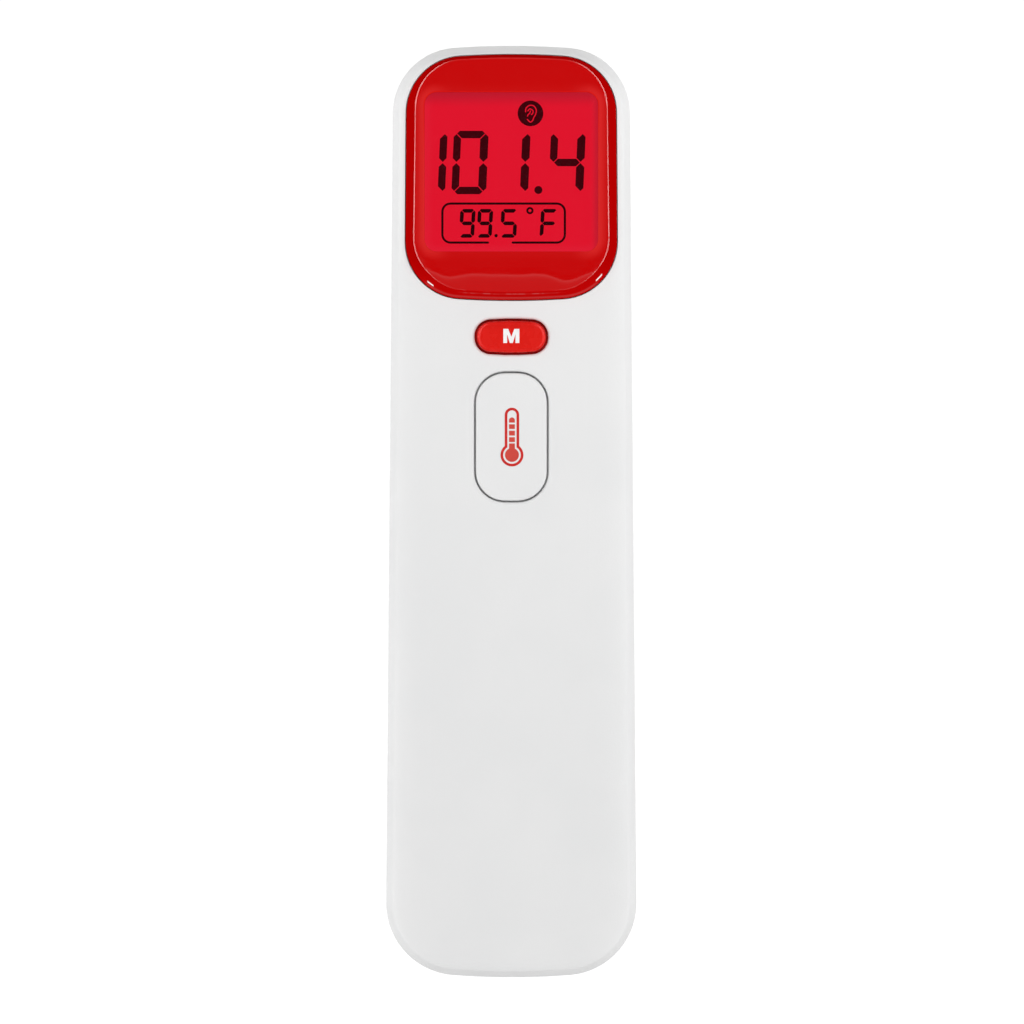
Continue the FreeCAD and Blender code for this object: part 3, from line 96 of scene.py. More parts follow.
class Tree:
    """A short way to build a material's nodes."""

    def __init__(self, name):
        self.material = bpy.data.materials.new(name)
        self.material.use_nodes = True
        self.tree = self.material.node_tree
        self.tree.nodes.clear()
        self.output = self.add("ShaderNodeOutputMaterial")
        self.place = self.add("ShaderNodeTexCoord").outputs["Object"]

    def add(self, kind, inputs=None, **settings):
        """Adds a node, sets its properties, and fills or links its inputs."""
        node = self.tree.nodes.new(kind)
        for key, setting in settings.items():
            setattr(node, key, setting)
        for key, entry in (inputs or {}).items():
            self.feed(node.inputs[key], entry)
        return node

    def feed(self, socket, entry):
        """Links a socket, or sets its own value."""
        if isinstance(entry, bpy.types.NodeSocket):
            self.tree.links.new(entry, socket)
        elif socket.type == "RGBA" and len(entry) == 3:
            socket.default_value = (*entry, 1.0)
        else:
            socket.default_value = entry

    def math(self, operation, *entries):
        """One arithmetic step on numbers or sockets."""
        node = self.add("ShaderNodeMath", operation=operation)
        for socket, entry in zip(node.inputs, entries):
            self.feed(socket, entry)
        return node.outputs[0]

    def mix(self, factor, first, second):
        """Blends two colours."""
        node = self.add("ShaderNodeMix", data_type="RGBA")
        self.feed(node.inputs["Factor"], factor)
        self.feed(node.inputs["A"], first)
        self.feed(node.inputs["B"], second)
        return node.outputs["Result"]

    def ramp(self, entry, low, high, out_low=0.0, out_high=1.0):
        """A smooth step from out_low to out_high as entry goes from low to high."""
        node = self.add("ShaderNodeMapRange", interpolation_type="SMOOTHSTEP")
        sockets = (entry, low, high, out_low, out_high)
        for socket, number in zip(node.inputs, sockets):
            self.feed(socket, number)
        return node.outputs[0]

    def noise(self, size, detail=2.0, rough=0.5):
        """Noise whose features are about size metres across."""
        inputs = {"Vector": self.place, "Scale": 1 / size, "Detail": detail, "Roughness": rough}
        return self.add("ShaderNodeTexNoise", inputs).outputs["Fac"]

    def bump(self, height, depth, strength=1.0, under=None):
        """The normal of a surface roughened by height, which is depth metres deep."""
        inputs = {"Height": height, "Distance": depth, "Strength": strength}
        if under is not None:
            inputs["Normal"] = under
        return self.add("ShaderNodeBump", inputs).outputs["Normal"]

    def xyz(self):
        """The three coordinates of the shaded point."""
        parts = self.add("ShaderNodeSeparateXYZ", {"Vector": self.place}).outputs
        return parts[0], parts[1], parts[2]

    def rounded_box(self, x, z, centre_z, half, corner):
        """Signed distance, in metres, from a rounded rectangle in the display's plane."""
        level = self.math("SUBTRACT", z, centre_z)
        across = self.math("SUBTRACT", self.math("ABSOLUTE", x), half[0] - corner)
        along = self.math("SUBTRACT", self.math("ABSOLUTE", level), half[1] - corner)
        outer_x = self.math("MAXIMUM", across, 0.0)
        outer_z = self.math("MAXIMUM", along, 0.0)
        squares = self.math(
            "ADD", self.math("POWER", outer_x, 2.0), self.math("POWER", outer_z, 2.0)
        )
        outside = self.math("SQRT", squares)
        inside = self.math("MINIMUM", self.math("MAXIMUM", across, along), 0.0)
        return self.math("SUBTRACT", self.math("ADD", outside, inside), corner)

    def surface(self, inputs):
        """Finishes the material with one principled shader."""
        return self.done(self.add("ShaderNodeBsdfPrincipled", inputs).outputs[0])

    def done(self, shader):
        """Finishes the material with a shader of its own."""
        self.tree.links.new(shader, self.output.inputs["Surface"])
        return self.material


# --- Materials --------------------------------------------------------------------------------


def moulded_plastic(name, colour, rough=0.42, grain=0.35, depth=0.006, specular=0.4):
    """Moulded plastic: a fine spark-eroded grain, faint flow mottling and uneven sheen."""
    t = Tree(name)
    fine = t.noise(grain * MM, 3.0, 0.6)
    cloud = t.noise(9 * MM, 2.0)
    darker = tuple(c * 0.965 for c in colour)
    tint = t.mix(t.ramp(cloud, 0.35, 0.65), darker, colour)
    sheen = t.ramp(t.noise(2.2 * MM, 3.0), 0.3, 0.7, rough - 0.04, rough + 0.05)
    normal = t.bump(fine, depth * MM, 0.6)
    return t.surface(
        {
            "Base Color": tint,
            "Roughness": sheen,
            "Specular IOR Level": specular,
            "Normal": normal,
        }
    )


def casing():
    """White satin casing with a trace of dust in the seam between the shells."""
    t = Tree("casing_white")
    _, y, _ = t.xyz()
    fine = t.noise(0.30 * MM, 3.0, 0.65)
    pores = t.noise(0.9 * MM, 2.0)
    cloud = t.noise(14 * MM, 2.0)
    cool = (0.782, 0.784, 0.785)
    tint = t.mix(t.ramp(cloud, 0.3, 0.7), cool, BODY_WHITE)
    seam = t.math("ABSOLUTE", t.math("SUBTRACT", y, SEAM_Y))
    dust = t.ramp(seam, 0.32 * MM, 0.05 * MM, 0.0, 0.35)
    tint = t.mix(dust, tint, (0.42, 0.41, 0.40))
    sheen = t.ramp(t.noise(3.0 * MM, 3.0), 0.3, 0.7, 0.36, 0.45)
    normal = t.bump(fine, 0.028 * MM, 0.7)
    normal = t.bump(pores, 0.012 * MM, 0.25, normal)
    return t.surface(
        {
            "Base Color": tint,
            "Roughness": sheen,
            "Specular IOR Level": 0.03,
            "Normal": normal,
        }
    )


def button_plastic():
    """Glossy red plastic of the upper button, with painted shade towards its top edge."""
    t = Tree("button_red")
    _, _, z = t.xyz()
    # Painted shade: the red darkens towards the button's top edge.
    top_shade = (BUTTON_RED[0] * 0.84, BUTTON_RED[1] * 0.6, BUTTON_RED[2] * 0.6)
    tint = t.mix(t.ramp(z, mode_high.z - 3.0 * MM, mode_high.z), BUTTON_RED, top_shade)
    sheen = t.ramp(t.noise(1.2 * MM, 3.0), 0.3, 0.7, 0.24, 0.32)
    return t.surface(
        {
            "Base Color": tint,
            "Roughness": sheen,
            "Specular IOR Level": 0.15,
            "Normal": t.bump(t.noise(0.25 * MM, 3.0), 0.003 * MM, 0.6),
        }
    )


def lens_wave(t, x, z):
    """The lens's normal, with the slow waves that moulding leaves along its lower edge."""
    tilt = t.ramp(t.noise(5 * MM, 1.0), 0.3, 0.7, -0.006, 0.006)
    right = (1, 5.0, 8.8, 0.06, -0.11)
    left = (-1, 5.8, 9.9, 0.03, -0.09)
    for side, level_to, dip_at, dip, rise in (right, left):
        out = t.math("MULTIPLY", x, side)
        tilt = t.math("ADD", tilt, t.ramp(out, level_to * MM, dip_at * MM, 0.0, dip))
        tilt = t.math("ADD", tilt, t.ramp(out, dip_at * MM, 14.6 * MM, 0.0, rise))
    tilt = t.math("MULTIPLY", tilt, t.ramp(z, 119 * MM, 115 * MM))
    shift = t.add("ShaderNodeCombineXYZ", {2: tilt}).outputs[0]
    plain = t.add("ShaderNodeNewGeometry").outputs["Normal"]
    moved = t.add("ShaderNodeVectorMath", {0: plain, 1: shift}, operation="ADD").outputs[0]
    return t.add("ShaderNodeVectorMath", {0: moved}, operation="NORMALIZE").outputs[0]


def painted_rim_highlights(t, x, y, z):
    """Where painted highlights lie on the lens's lower rim: a thin light line, a paler foot and
    two short glints.
    """

    def near(entry, centre, none_at, full_at, most=1.0):
        """A soft band round centre, full within full_at millimetres and gone beyond none_at."""
        away = t.math("ABSOLUTE", t.math("SUBTRACT", entry, centre * MM))
        return t.ramp(away, none_at * MM, full_at * MM, 0.0, most)

    foot = t.math("SUBTRACT", y, lens_low.y)
    low = t.ramp(z, 112.3 * MM, 111.3 * MM)
    middle = t.ramp(t.math("ABSOLUTE", x), 9 * MM, 6 * MM)
    line = t.math("MULTIPLY", near(foot, 0.72, 0.09, 0.02, 0.07), middle)
    line = t.math("MULTIPLY", line, t.ramp(t.noise(1.1 * MM, 1.0), 0.42, 0.58, 0.2, 1.0))
    pale = near(foot, 1.2, 0.17, 0.07, 0.03)
    total = t.math("MULTIPLY", t.math("MAXIMUM", line, pale), low)
    across = t.math("MULTIPLY", near(foot, 0.95, 0.10, 0.05), t.ramp(z, 114 * MM, 113 * MM))
    for centre in (-13.0, 14.1):
        spot = t.math("MULTIPLY", near(x, centre, 0.52, 0.45), across)
        total = t.math("MAXIMUM", total, spot)
    return total


def lens_material():
    """Polished red lens, printed from behind except over the display's viewing area.

    The print has a painted glow beside that area, a painted highlight along its upper edge and
    painted shade on the lens's sloping sides. The lens's foot, inside the casing, is pale. Its
    inner faces give off a painted dark red glow that stands for the display's light.
    """
    t = Tree("lens_red")
    x, y, z = t.xyz()
    window = t.rounded_box(x, z, VIEW_CENTRE_Z, VIEW_HALF, VIEW_CORNER)
    # Painted glow: the print is lighter beside the viewing area, most towards the lens's sides.
    side = t.ramp(t.math("ABSOLUTE", x), 9 * MM, 14.5 * MM, 0.12, 1.0)
    glow = t.math("MULTIPLY", t.ramp(window, 1.8 * MM, 0.1 * MM), side)
    tint = t.mix(glow, LENS_RED, LENS_GLOW)
    # Painted highlight: a lighter line just outside the viewing area's upper edge.
    lip = t.ramp(window, 0.30 * MM, 0.10 * MM, 0.0, 0.7)
    tint = t.mix(t.math("MULTIPLY", lip, t.ramp(z, 131 * MM, 141 * MM)), tint, WINDOW_EDGE_HIGHLIGHT)
    straight = t.add("ShaderNodeNewGeometry").outputs["Normal"]
    facing = t.math("MULTIPLY", t.add("ShaderNodeSeparateXYZ", {0: straight}).outputs[1], -1.0)
    # Painted shade: the lens's sloping sides are darkened, less so low down.
    slope = t.ramp(facing, 0.94, 0.80)
    slope_shade = t.math("MULTIPLY", slope, t.ramp(z, 110.5 * MM, 116 * MM, 0.45, 1.0))
    tint = t.mix(slope_shade, tint, LENS_SLOPE_SHADE)
    buried = t.ramp(y, body_low.y + 0.5 * MM, body_low.y + 0.7 * MM)
    tint = t.mix(buried, tint, LENS_FOOT)
    # Painted highlights: light line, paler foot and two glints on the lens's lower rim.
    tint = t.mix(painted_rim_highlights(t, x, y, z), tint, RIM_HIGHLIGHT)
    haze = t.noise(4 * MM, 3.0)
    polish = t.ramp(haze, 0.3, 0.7, 0.05, 0.08)
    normal = lens_wave(t, x, z)
    plastic = t.add(
        "ShaderNodeBsdfPrincipled",
        {
            "Base Color": tint,
            "Roughness": polish,
            "Specular IOR Level": t.math("SUBTRACT", 0.5, t.math("MULTIPLY", slope, 0.5)),
            "Normal": normal,
        },
    )
    # Painted glow: the inner faces give off dark red light that stands for the display's light.
    within = t.add("ShaderNodeEmission", {"Color": LENS_INNER_GLOW, "Strength": 1.0})
    behind = t.add("ShaderNodeNewGeometry").outputs["Backfacing"]
    solid = t.add("ShaderNodeMixShader", {0: behind, 1: plastic.outputs[0], 2: within.outputs[0]})
    clear = t.add("ShaderNodeBsdfTransparent", {"Color": (1.0, 0.96, 0.96)})
    gloss = t.add("ShaderNodeBsdfGlossy", {"Color": (1, 1, 1), "Roughness": polish})
    pane = t.add("ShaderNodeMixShader", {0: 0.02, 1: clear.outputs[0], 2: gloss.outputs[0]})
    open_area = t.ramp(window, 0.03 * MM, -0.03 * MM)
    both = t.add("ShaderNodeMixShader", {0: open_area, 1: solid.outputs[0], 2: pane.outputs[0]})
    return t.done(both.outputs[0])


def display_colour(t):
    """The lit display's colour: even red, shaded by the window's edge at the top and right."""
    x, _, z = t.xyz()
    window = t.rounded_box(x, z, VIEW_CENTRE_Z, VIEW_HALF, VIEW_CORNER)
    top = t.ramp(z, VIEW_CENTRE_Z + VIEW_HALF[1] - 2.6 * MM, VIEW_CENTRE_Z + VIEW_HALF[1])
    right = t.ramp(x, VIEW_HALF[0] - 1.2 * MM, VIEW_HALF[0])
    shade = t.math("MAXIMUM", t.math("MULTIPLY", top, 0.9), t.math("MULTIPLY", right, 0.8))
    rim = t.ramp(window, -1.6 * MM, -0.1 * MM, 0.0, 0.16)
    mottle = t.ramp(t.noise(5 * MM, 2.0), 0.3, 0.7, 0.0, 0.06)
    tint = t.mix(mottle, DISPLAY_RED, (0.70, 0.010, 0.030))
    tint = t.mix(rim, tint, (0.74, 0.035, 0.07))
    return t.mix(shade, tint, DISPLAY_SHADE)


def lit_display(name):
    """Backlit liquid crystal: it gives its own light, and its film has no gloss."""
    t = Tree(name)
    tint = display_colour(t)
    return t.surface(
        {
            "Base Color": (0.02, 0.0, 0.001),
            "Emission Color": tint,
            "Emission Strength": 1.0,
            "Roughness": t.ramp(t.noise(1.5 * MM), 0.3, 0.7, 0.35, 0.45),
            "Specular IOR Level": 0.0,
            "Normal": t.bump(t.noise(0.2 * MM), 0.002 * MM, 0.3),
        }
    )


def segment_ink(name, colour):
    """Dark display segments that let a trace of the backlight through."""
    t = Tree(name)
    tint = t.mix(t.ramp(t.noise(0.6 * MM), 0.35, 0.65), colour, tuple(c * 1.3 for c in colour))
    return t.surface(
        {
            "Base Color": (0.01, 0.0, 0.001),
            "Emission Color": tint,
            "Emission Strength": 1.0,
            "Roughness": 0.4,
            "Specular IOR Level": 0.0,
            "Normal": t.bump(t.noise(0.1 * MM), 0.001 * MM, 0.2),
        }
    )


def metal(name, colour, rough=0.3, streak=0.25, along="Z"):
    """Plated or turned metal: fine scratches along one way over a brushed base."""
    t = Tree(name)
    stretch = {"X": (0.06, 1, 1), "Y": (1, 0.06, 1), "Z": (1, 1, 0.06)}[along]
    moved = t.add("ShaderNodeMapping", {"Vector": t.place, "Scale": stretch}).outputs[0]
    lines = t.add(
        "ShaderNodeTexNoise",
        {"Vector": moved, "Scale": 1 / (streak * MM), "Detail": 4.0, "Roughness": 0.6},
    ).outputs["Fac"]
    stain = t.ramp(t.noise(2.5 * MM), 0.35, 0.7)
    tint = t.mix(stain, colour, tuple(c * 0.86 for c in colour))
    return t.surface(
        {
            "Base Color": tint,
            "Metallic": 1.0,
            "Roughness": t.ramp(lines, 0.3, 0.7, rough - 0.07, rough + 0.1),
            "Normal": t.bump(lines, 0.004 * MM, 0.35),
        }
    )


def rubber(name, colour):
    """Dull rubber with a dusty bloom."""
    t = Tree(name)
    bloom = t.ramp(t.noise(1.6 * MM, 4.0), 0.45, 0.7, 0.0, 0.25)
    tint = t.mix(bloom, colour, tuple(c * 0.6 + 0.12 for c in colour))
    return t.surface(
        {
            "Base Color": tint,
            "Roughness": 0.75,
            "Specular IOR Level": 0.3,
            "Normal": t.bump(t.noise(0.15 * MM, 3.0), 0.01 * MM, 0.5),
        }
    )


def striped_rubber(name):
    """Connector strip of alternate conducting and insulating layers along X."""
    t = Tree(name)
    x, _, _ = t.xyz()
    wave = t.math("SINE", t.math("MULTIPLY", x, 2 * math.pi / (0.5 * MM)))
    tint = t.mix(t.ramp(wave, -0.2, 0.2), (0.03, 0.03, 0.03), (0.55, 0.50, 0.42))
    return t.surface(
        {
            "Base Color": tint,
            "Roughness": 0.6,
            "Normal": t.bump(wave, 0.01 * MM, 0.4),
        }
    )


def circuit_board(name):
    """Green solder mask with copper runs showing through and a cloth weave beneath."""
    t = Tree(name)
    x, _, z = t.xyz()
    cells = t.add(
        "ShaderNodeTexBrick",
        {"Vector": t.place, "Scale": 260.0, "Mortar Size": 0.035, "Mortar Smooth": 0.3},
    ).outputs["Fac"]
    runs = t.math("SINE", t.math("MULTIPLY", x, 2 * math.pi / (1.1 * MM)))
    zone = t.ramp(t.noise(7 * MM, 0.0), 0.50, 0.53)
    copper = t.math("MULTIPLY", t.ramp(runs, 0.35, 0.5), zone)
    tint = t.mix(copper, (0.010, 0.085, 0.035), (0.035, 0.19, 0.07))
    weave_x = t.math("SINE", t.math("MULTIPLY", x, 2 * math.pi / (0.45 * MM)))
    weave_z = t.math("SINE", t.math("MULTIPLY", z, 2 * math.pi / (0.45 * MM)))
    weave = t.math("MULTIPLY", weave_x, weave_z)
    height = t.math("ADD", t.math("MULTIPLY", weave, 0.15), t.math("ADD", copper, cells))
    return t.surface(
        {
            "Base Color": tint,
            "Roughness": t.ramp(weave, -1.0, 1.0, 0.28, 0.4),
            "Normal": t.bump(height, 0.03 * MM, 0.4),
        }
    )


def clear_sheet(name, colour, clarity, rough=0.12):
    """Tinted see-through sheet, with light haze."""
    t = Tree(name)
    haze = t.noise(3 * MM, 2.0)
    solid = t.add(
        "ShaderNodeBsdfPrincipled",
        {
            "Base Color": t.mix(haze, colour, tuple(c * 0.9 for c in colour)),
            "Roughness": t.ramp(haze, 0.3, 0.7, rough, rough + 0.06),
            "Normal": t.bump(haze, 0.004 * MM, 0.2),
        },
    )
    clear = t.add("ShaderNodeBsdfTransparent", {"Color": (1.0, 1.0, 1.0)})
    share = t.ramp(haze, 0.2, 0.8, clarity, clarity - 0.08)
    both = t.add("ShaderNodeMixShader", {0: share, 1: solid.outputs[0], 2: clear.outputs[0]})
    return t.done(both.outputs[0])


def backlit(name, colour, glow):
    """Plastic or glass beside the display, with a painted glow that stands for some of the
    backlight's red.
    """
    t = Tree(name)
    haze = t.ramp(t.noise(2 * MM, 2.0), 0.3, 0.7)
    # Painted glow: the emission stands for backlight that reaches this part.
    return t.surface(
        {
            "Base Color": t.mix(haze, colour, tuple(c * 0.9 for c in colour)),
            "Emission Color": t.mix(haze, glow, tuple(c * 0.8 for c in glow)),
            "Emission Strength": 1.0,
            "Roughness": t.ramp(haze, 0.0, 1.0, 0.30, 0.38),
            "Specular IOR Level": 0.1,
            "Normal": t.bump(haze, 0.004 * MM, 0.3),
        }
    )


def cell_wrap(name):
    """A battery's sleeve: a dark band at its nub end, plated steel beyond the sleeve's ends."""
    t = Tree(name)
    x, _, z = t.xyz()
    low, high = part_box("cell_left")
    from_left = t.ramp(x, -0.01 * MM, 0.01 * MM, 1.0, 0.0)
    mid = t.math("SUBTRACT", z, (low.z + high.z) / 2)
    flipped = t.math("MULTIPLY", mid, t.ramp(x, -0.01 * MM, 0.01 * MM, 1.0, -1.0))
    band = t.ramp(flipped, 11.0 * MM, 11.1 * MM)
    bare = t.ramp(t.math("ABSOLUTE", mid), 20.4 * MM, 20.5 * MM)
    tint = t.mix(band, (0.30, 0.32, 0.35), (0.035, 0.04, 0.05))
    tint = t.mix(bare, tint, (0.62, 0.62, 0.60))
    speck = t.noise(0.4 * MM, 3.0)
    return t.surface(
        {
            "Base Color": tint,
            "Metallic": t.ramp(t.math("ABSOLUTE", mid), 20.4 * MM, 20.5 * MM, 0.55, 1.0),
            "Roughness": t.ramp(speck, 0.3, 0.7, 0.25, 0.36),
            "Coat Weight": t.math("MULTIPLY", from_left, 0.3),
            "Normal": t.bump(speck, 0.004 * MM, 0.3),
        }
    )


def give_materials():
    """Gives every carried-over CAD node its procedural material."""
    white = casing()
    steel = metal("plated_steel", (0.62, 0.62, 0.61), 0.28, along="Y")
    nickel = metal("nickel", (0.60, 0.57, 0.51), 0.25, along="X")
    black = moulded_plastic("chip_black", (0.012, 0.012, 0.013), 0.55, 0.12, 0.01)
    green = circuit_board("board_green")
    glass = clear_sheet("display_glass", (0.30, 0.03, 0.04), 0.8)
    wrap = cell_wrap("cell_wrap")
    chosen = {
        "display_lens": lens_material(),
        "lens_gasket": rubber("gasket_pale", (0.62, 0.62, 0.62)),
        "window_mask": backlit("mask_red", (0.36, 0.003, 0.004), (0.20, 0.001, 0.003)),
        "mode_button": button_plastic(),
        "lcd_front_glass": backlit("glass_rim_lit", (0.20, 0.02, 0.03), (0.24, 0.001, 0.004)),
        "lcd_rear_glass": glass,
        "lcd_polarizers": lit_display("lit_display"),
        "light_guide": clear_sheet("light_guide_red", (0.75, 0.05, 0.06), 0.35, 0.4),
        "reflector_sheet": moulded_plastic("reflector_white", (0.86, 0.86, 0.86), 0.3, 0.5),
        "display_holder": backlit("holder_white", (0.70, 0.70, 0.68), (0.10, 0.001, 0.002)),
        "zebra_strip": striped_rubber("zebra_rubber"),
        "backlight_leds": moulded_plastic("lamp_amber", (0.85, 0.66, 0.25), 0.35, 0.2),
        "main_board": green,
        "sensor_board": green,
        "crystal_can": steel,
        "chip_capacitors": moulded_plastic("ceramic_tan", (0.34, 0.22, 0.12), 0.5, 0.2),
        "cable_connector": moulded_plastic("connector_ivory", (0.62, 0.58, 0.46), 0.45),
        "mode_switch": metal("switch_cover", (0.66, 0.66, 0.65), 0.3, along="X"),
        "scan_switch": metal("switch_cover_large", (0.66, 0.66, 0.65), 0.3, along="X"),
        "board_screws": steel,
        "case_screws": steel,
        "bay_screws": steel,
        "probe_screws": steel,
        "cell_left": wrap,
        "cell_right": wrap,
        "battery_bridge": nickel,
        "positive_contact": nickel,
        "negative_contact": nickel,
        "lower_spring": nickel,
        "upper_spring": nickel,
        "positive_wire": rubber("wire_red", (0.45, 0.02, 0.015)),
        "negative_wire": rubber("wire_black", (0.02, 0.02, 0.02)),
        "probe_nose": moulded_plastic("probe_grey", (0.028, 0.030, 0.033), 0.35, 0.3),
        "probe_window": clear_sheet("probe_glass", (0.05, 0.05, 0.055), 0.15, 0.08),
        "waveguide": metal("gold_plate", (0.83, 0.60, 0.25), 0.12, along="Y"),
        "thermopile": metal("sensor_can", (0.72, 0.70, 0.66), 0.2, along="Y"),
        "sensor_block": metal("turned_aluminium", (0.76, 0.77, 0.78), 0.3, along="X"),
        "sensor_cable": moulded_plastic("cable_amber", (0.55, 0.22, 0.04), 0.3, 0.6),
        "probe_retainer": moulded_plastic("retainer_grey", (0.09, 0.095, 0.10), 0.5),
        "probe_seal": rubber("seal_black", (0.02, 0.02, 0.021)),
        "cap_magnets": metal("magnet_nickel", (0.66, 0.65, 0.62), 0.18, along="X"),
    }
    black_nodes = ("processor_chip", "memory_chip", "buzzer", "hall_switch")
    black_nodes += ("mode_plunger", "scan_plunger")
    chosen.update({name: black for name in black_nodes})
    for name, node in nodes.items():
        node.data.materials.clear()
        node.data.materials.append(chosen.get(name, white))
        for face in node.data.polygons:
            face.use_smooth = True


# --- Flat artwork ---------------------------------------------------------------------------


def extruded(name, outlines, front_y, depth, material, body):
    """One piece made of flat outlines in the XZ plane, each given depth along +Y.

    An outline is a list of (x, z) points in millimetres, or a pair of such lists, outer and
    inner, that bound a closed band.
    """
    mesh = bmesh.new()
    for outline in outlines:
        if isinstance(outline, tuple):
            add_band(mesh, *outline, front_y, depth)
        else:
            add_slab(mesh, outline, front_y, depth)
    bmesh.ops.recalc_face_normals(mesh, faces=mesh.faces)
    data = bpy.data.meshes.new(name)
    mesh.to_mesh(data)
    mesh.free()
    data.materials.append(material)
    piece = bpy.data.objects.new(name, data)
    bpy.context.scene.collection.objects.link(piece)
    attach(piece, body)
    return piece


def add_slab(mesh, points, front_y, depth):
    """A plate with the given outline."""
    front = [mesh.verts.new((x * MM, front_y, z * MM)) for x, z in points]
    back = [mesh.verts.new((x * MM, front_y + depth, z * MM)) for x, z in points]
    mesh.faces.new(front)
    mesh.faces.new(list(reversed(back)))
    count = len(points)
    for i in range(count):
        j = (i + 1) % count
        mesh.faces.new((front[i], back[i], back[j], front[j]))


def add_band(mesh, outer, inner, front_y, depth):
    """A plate between two outlines that have the same number of points."""
    rings = []
    for points in (outer, inner):
        for y in (front_y, front_y + depth):
            rings.append([mesh.verts.new((x * MM, y, z * MM)) for x, z in points])
    out_front, out_back, in_front, in_back = rings
    count = len(outer)
    for i in range(count):
        j = (i + 1) % count
        mesh.faces.new((out_front[i], in_front[i], in_front[j], out_front[j]))
        mesh.faces.new((out_back[i], out_back[j], in_back[j], in_back[i]))
        mesh.faces.new((out_front[i], out_front[j], out_back[j], out_back[i]))
        mesh.faces.new((in_front[i], in_back[i], in_back[j], in_front[j]))


def arc_points(x, z, radius, start, end, steps):
    """Points on an arc; angles are in degrees, counter-clockwise from +X."""
    turns = [math.radians(start + (end - start) * i / steps) for i in range(steps + 1)]
    return [(x + radius * math.cos(a), z + radius * math.sin(a)) for a in turns]


def stroke(points, width):
    """Outline of a line of even width along points, with round ends."""
    half = width / 2
    left, right = [], []
    for i, (x, z) in enumerate(points):
        ahead = Vector(points[min(i + 1, len(points) - 1)])
        behind = Vector(points[max(i - 1, 0)])
        way = (ahead - behind).normalized()
        left.append((x - way.y * half, z + way.x * half))
        right.append((x + way.y * half, z - way.x * half))
    last = Vector(points[-1]) - Vector(points[-2])
    first = Vector(points[1]) - Vector(points[0])
    end_turn = math.degrees(math.atan2(last.y, last.x))
    start_turn = math.degrees(math.atan2(first.y, first.x))
    end_cap = arc_points(*points[-1], half, end_turn - 90, end_turn + 90, 8)[1:-1]
    start_cap = arc_points(*points[0], half, start_turn + 90, start_turn + 270, 8)[1:-1]
    return right + end_cap + left[::-1] + start_cap


def smooth_line(points, steps=8):
    """A Catmull-Rom curve through points."""
    ends = [points[0]] + list(points) + [points[-1]]
    line = []
    for a, b, c, d in zip(ends, ends[1:], ends[2:], ends[3:]):
        for i in range(steps):
            t = i / steps
            line.append(
                tuple(
                    0.5 * (2 * q + (r - p) * t + (2 * p - 5 * q + 4 * r - s) * t * t
                           + (3 * q - p - 3 * r + s) * t**3)
                    for p, q, r, s in zip(a, b, c, d)
                )
            )
    return line + [points[-1]]


# The segments are lettered clockwise from the top one, a, with g across the middle.
SEGMENTS_LIT = {
    "0": "abcdef",
    "1": "bc",
    "4": "bcfg",
    "5": "acdfg",
    "9": "abcdfg",
    "F": "aefg",
}
# How far a mitred tip lies outside its segment's centre line, as a part of half the thickness.
MITRE_LIP = 0.28


def digit(character, x, z, width, height, thick, gap, lean, right_bold=1.0):
    """Lit segments of one seven-segment character, centred on (x, z).

    width and height are between the centre lines of the outer segments, and gap shortens each
    segment at both ends. At the character's corners a segment is mitred. lean is how far the
    character slants to the right per unit of height. The two right-hand segments are
    right_bold times as thick as the others.
    """
    half_w, half_h = width / 2, height / 2
    left, right, up, down = (-1, 0), (1, 0), (0, 1), (0, -1)
    places = {
        "a": ((-half_w, half_h), (half_w, half_h), up),
        "g": ((-half_w, 0), (half_w, 0), up),
        "d": ((-half_w, -half_h), (half_w, -half_h), down),
        "f": ((-half_w, half_h), (-half_w, 0), left),
        "b": ((half_w, half_h), (half_w, 0), right),
        "e": ((-half_w, -half_h), (-half_w, 0), left),
        "c": ((half_w, -half_h), (half_w, 0), right),
    }
    outlines = []
    for key in SEGMENTS_LIT[character]:
        start, end, out = (Vector(p) for p in places[key])
        way = (end - start).normalized()
        half = thick / 2 * (right_bold if places[key][2] == right else 1.0)
        shape = []
        for point, inward in ((start, way), (end, -way)):
            lip = half * MITRE_LIP if point.y else 0.0
            corners = [
                point + inward * (gap + half) - out * half,
                point + inward * (gap - lip) + out * lip,
                point + inward * (gap + half - 2 * lip) + out * half,
            ]
            shape += corners if inward == way else corners[::-1]
        outlines.append([(x + p.x + p.y * lean, z + p.y) for p in shape])
    return outlines


def rounded_path(left, right, low, high, corner, steps=8):
    """Closed points round a rounded rectangle, counter-clockwise from its low right corner."""
    path = arc_points(right - corner, low + corner, corner, -90, 0, steps)
    path += arc_points(right - corner, high - corner, corner, 0, 90, steps)
    path += arc_points(left + corner, high - corner, corner, 90, 180, steps)
    path += arc_points(left + corner, low + corner, corner, 180, 270, steps)
    return path


def disc(x, z, radius, steps=48):
    """Points on a circle."""
    return arc_points(x, z, radius, 0, 360, steps)[:-1]


def ring(x, z, outer, inner, steps=32):
    """Two circles that bound a round band."""
    return (disc(x, z, outer, steps), disc(x, z, inner, steps))


# How far flat artwork stands in front of the surface that carries it, and how thick it is.
DISPLAY_RISE = 0.05 * MM
DISPLAY_THICKNESS = 0.04 * MM
EAR_LINE_THICKNESS = 0.03 * MM
LETTER_RISE = 0.03 * MM
LETTER_THICKNESS = 0.06 * MM
SYMBOL_RISE = 0.02 * MM
SYMBOL_THICKNESS = 0.05 * MM


def display_artwork():
    """Large reading, small reading in its frame, and the ear symbol."""
    ink = segment_ink("segment_ink", SEGMENT_INK)
    fine_ink = segment_ink("fine_segment_ink", FINE_INK)
    front = DISPLAY_Y - DISPLAY_RISE
    large_reading(front, ink)
    small_reading(front, fine_ink)
    small_frame(front, fine_ink)
    ear_symbol(front, ink)


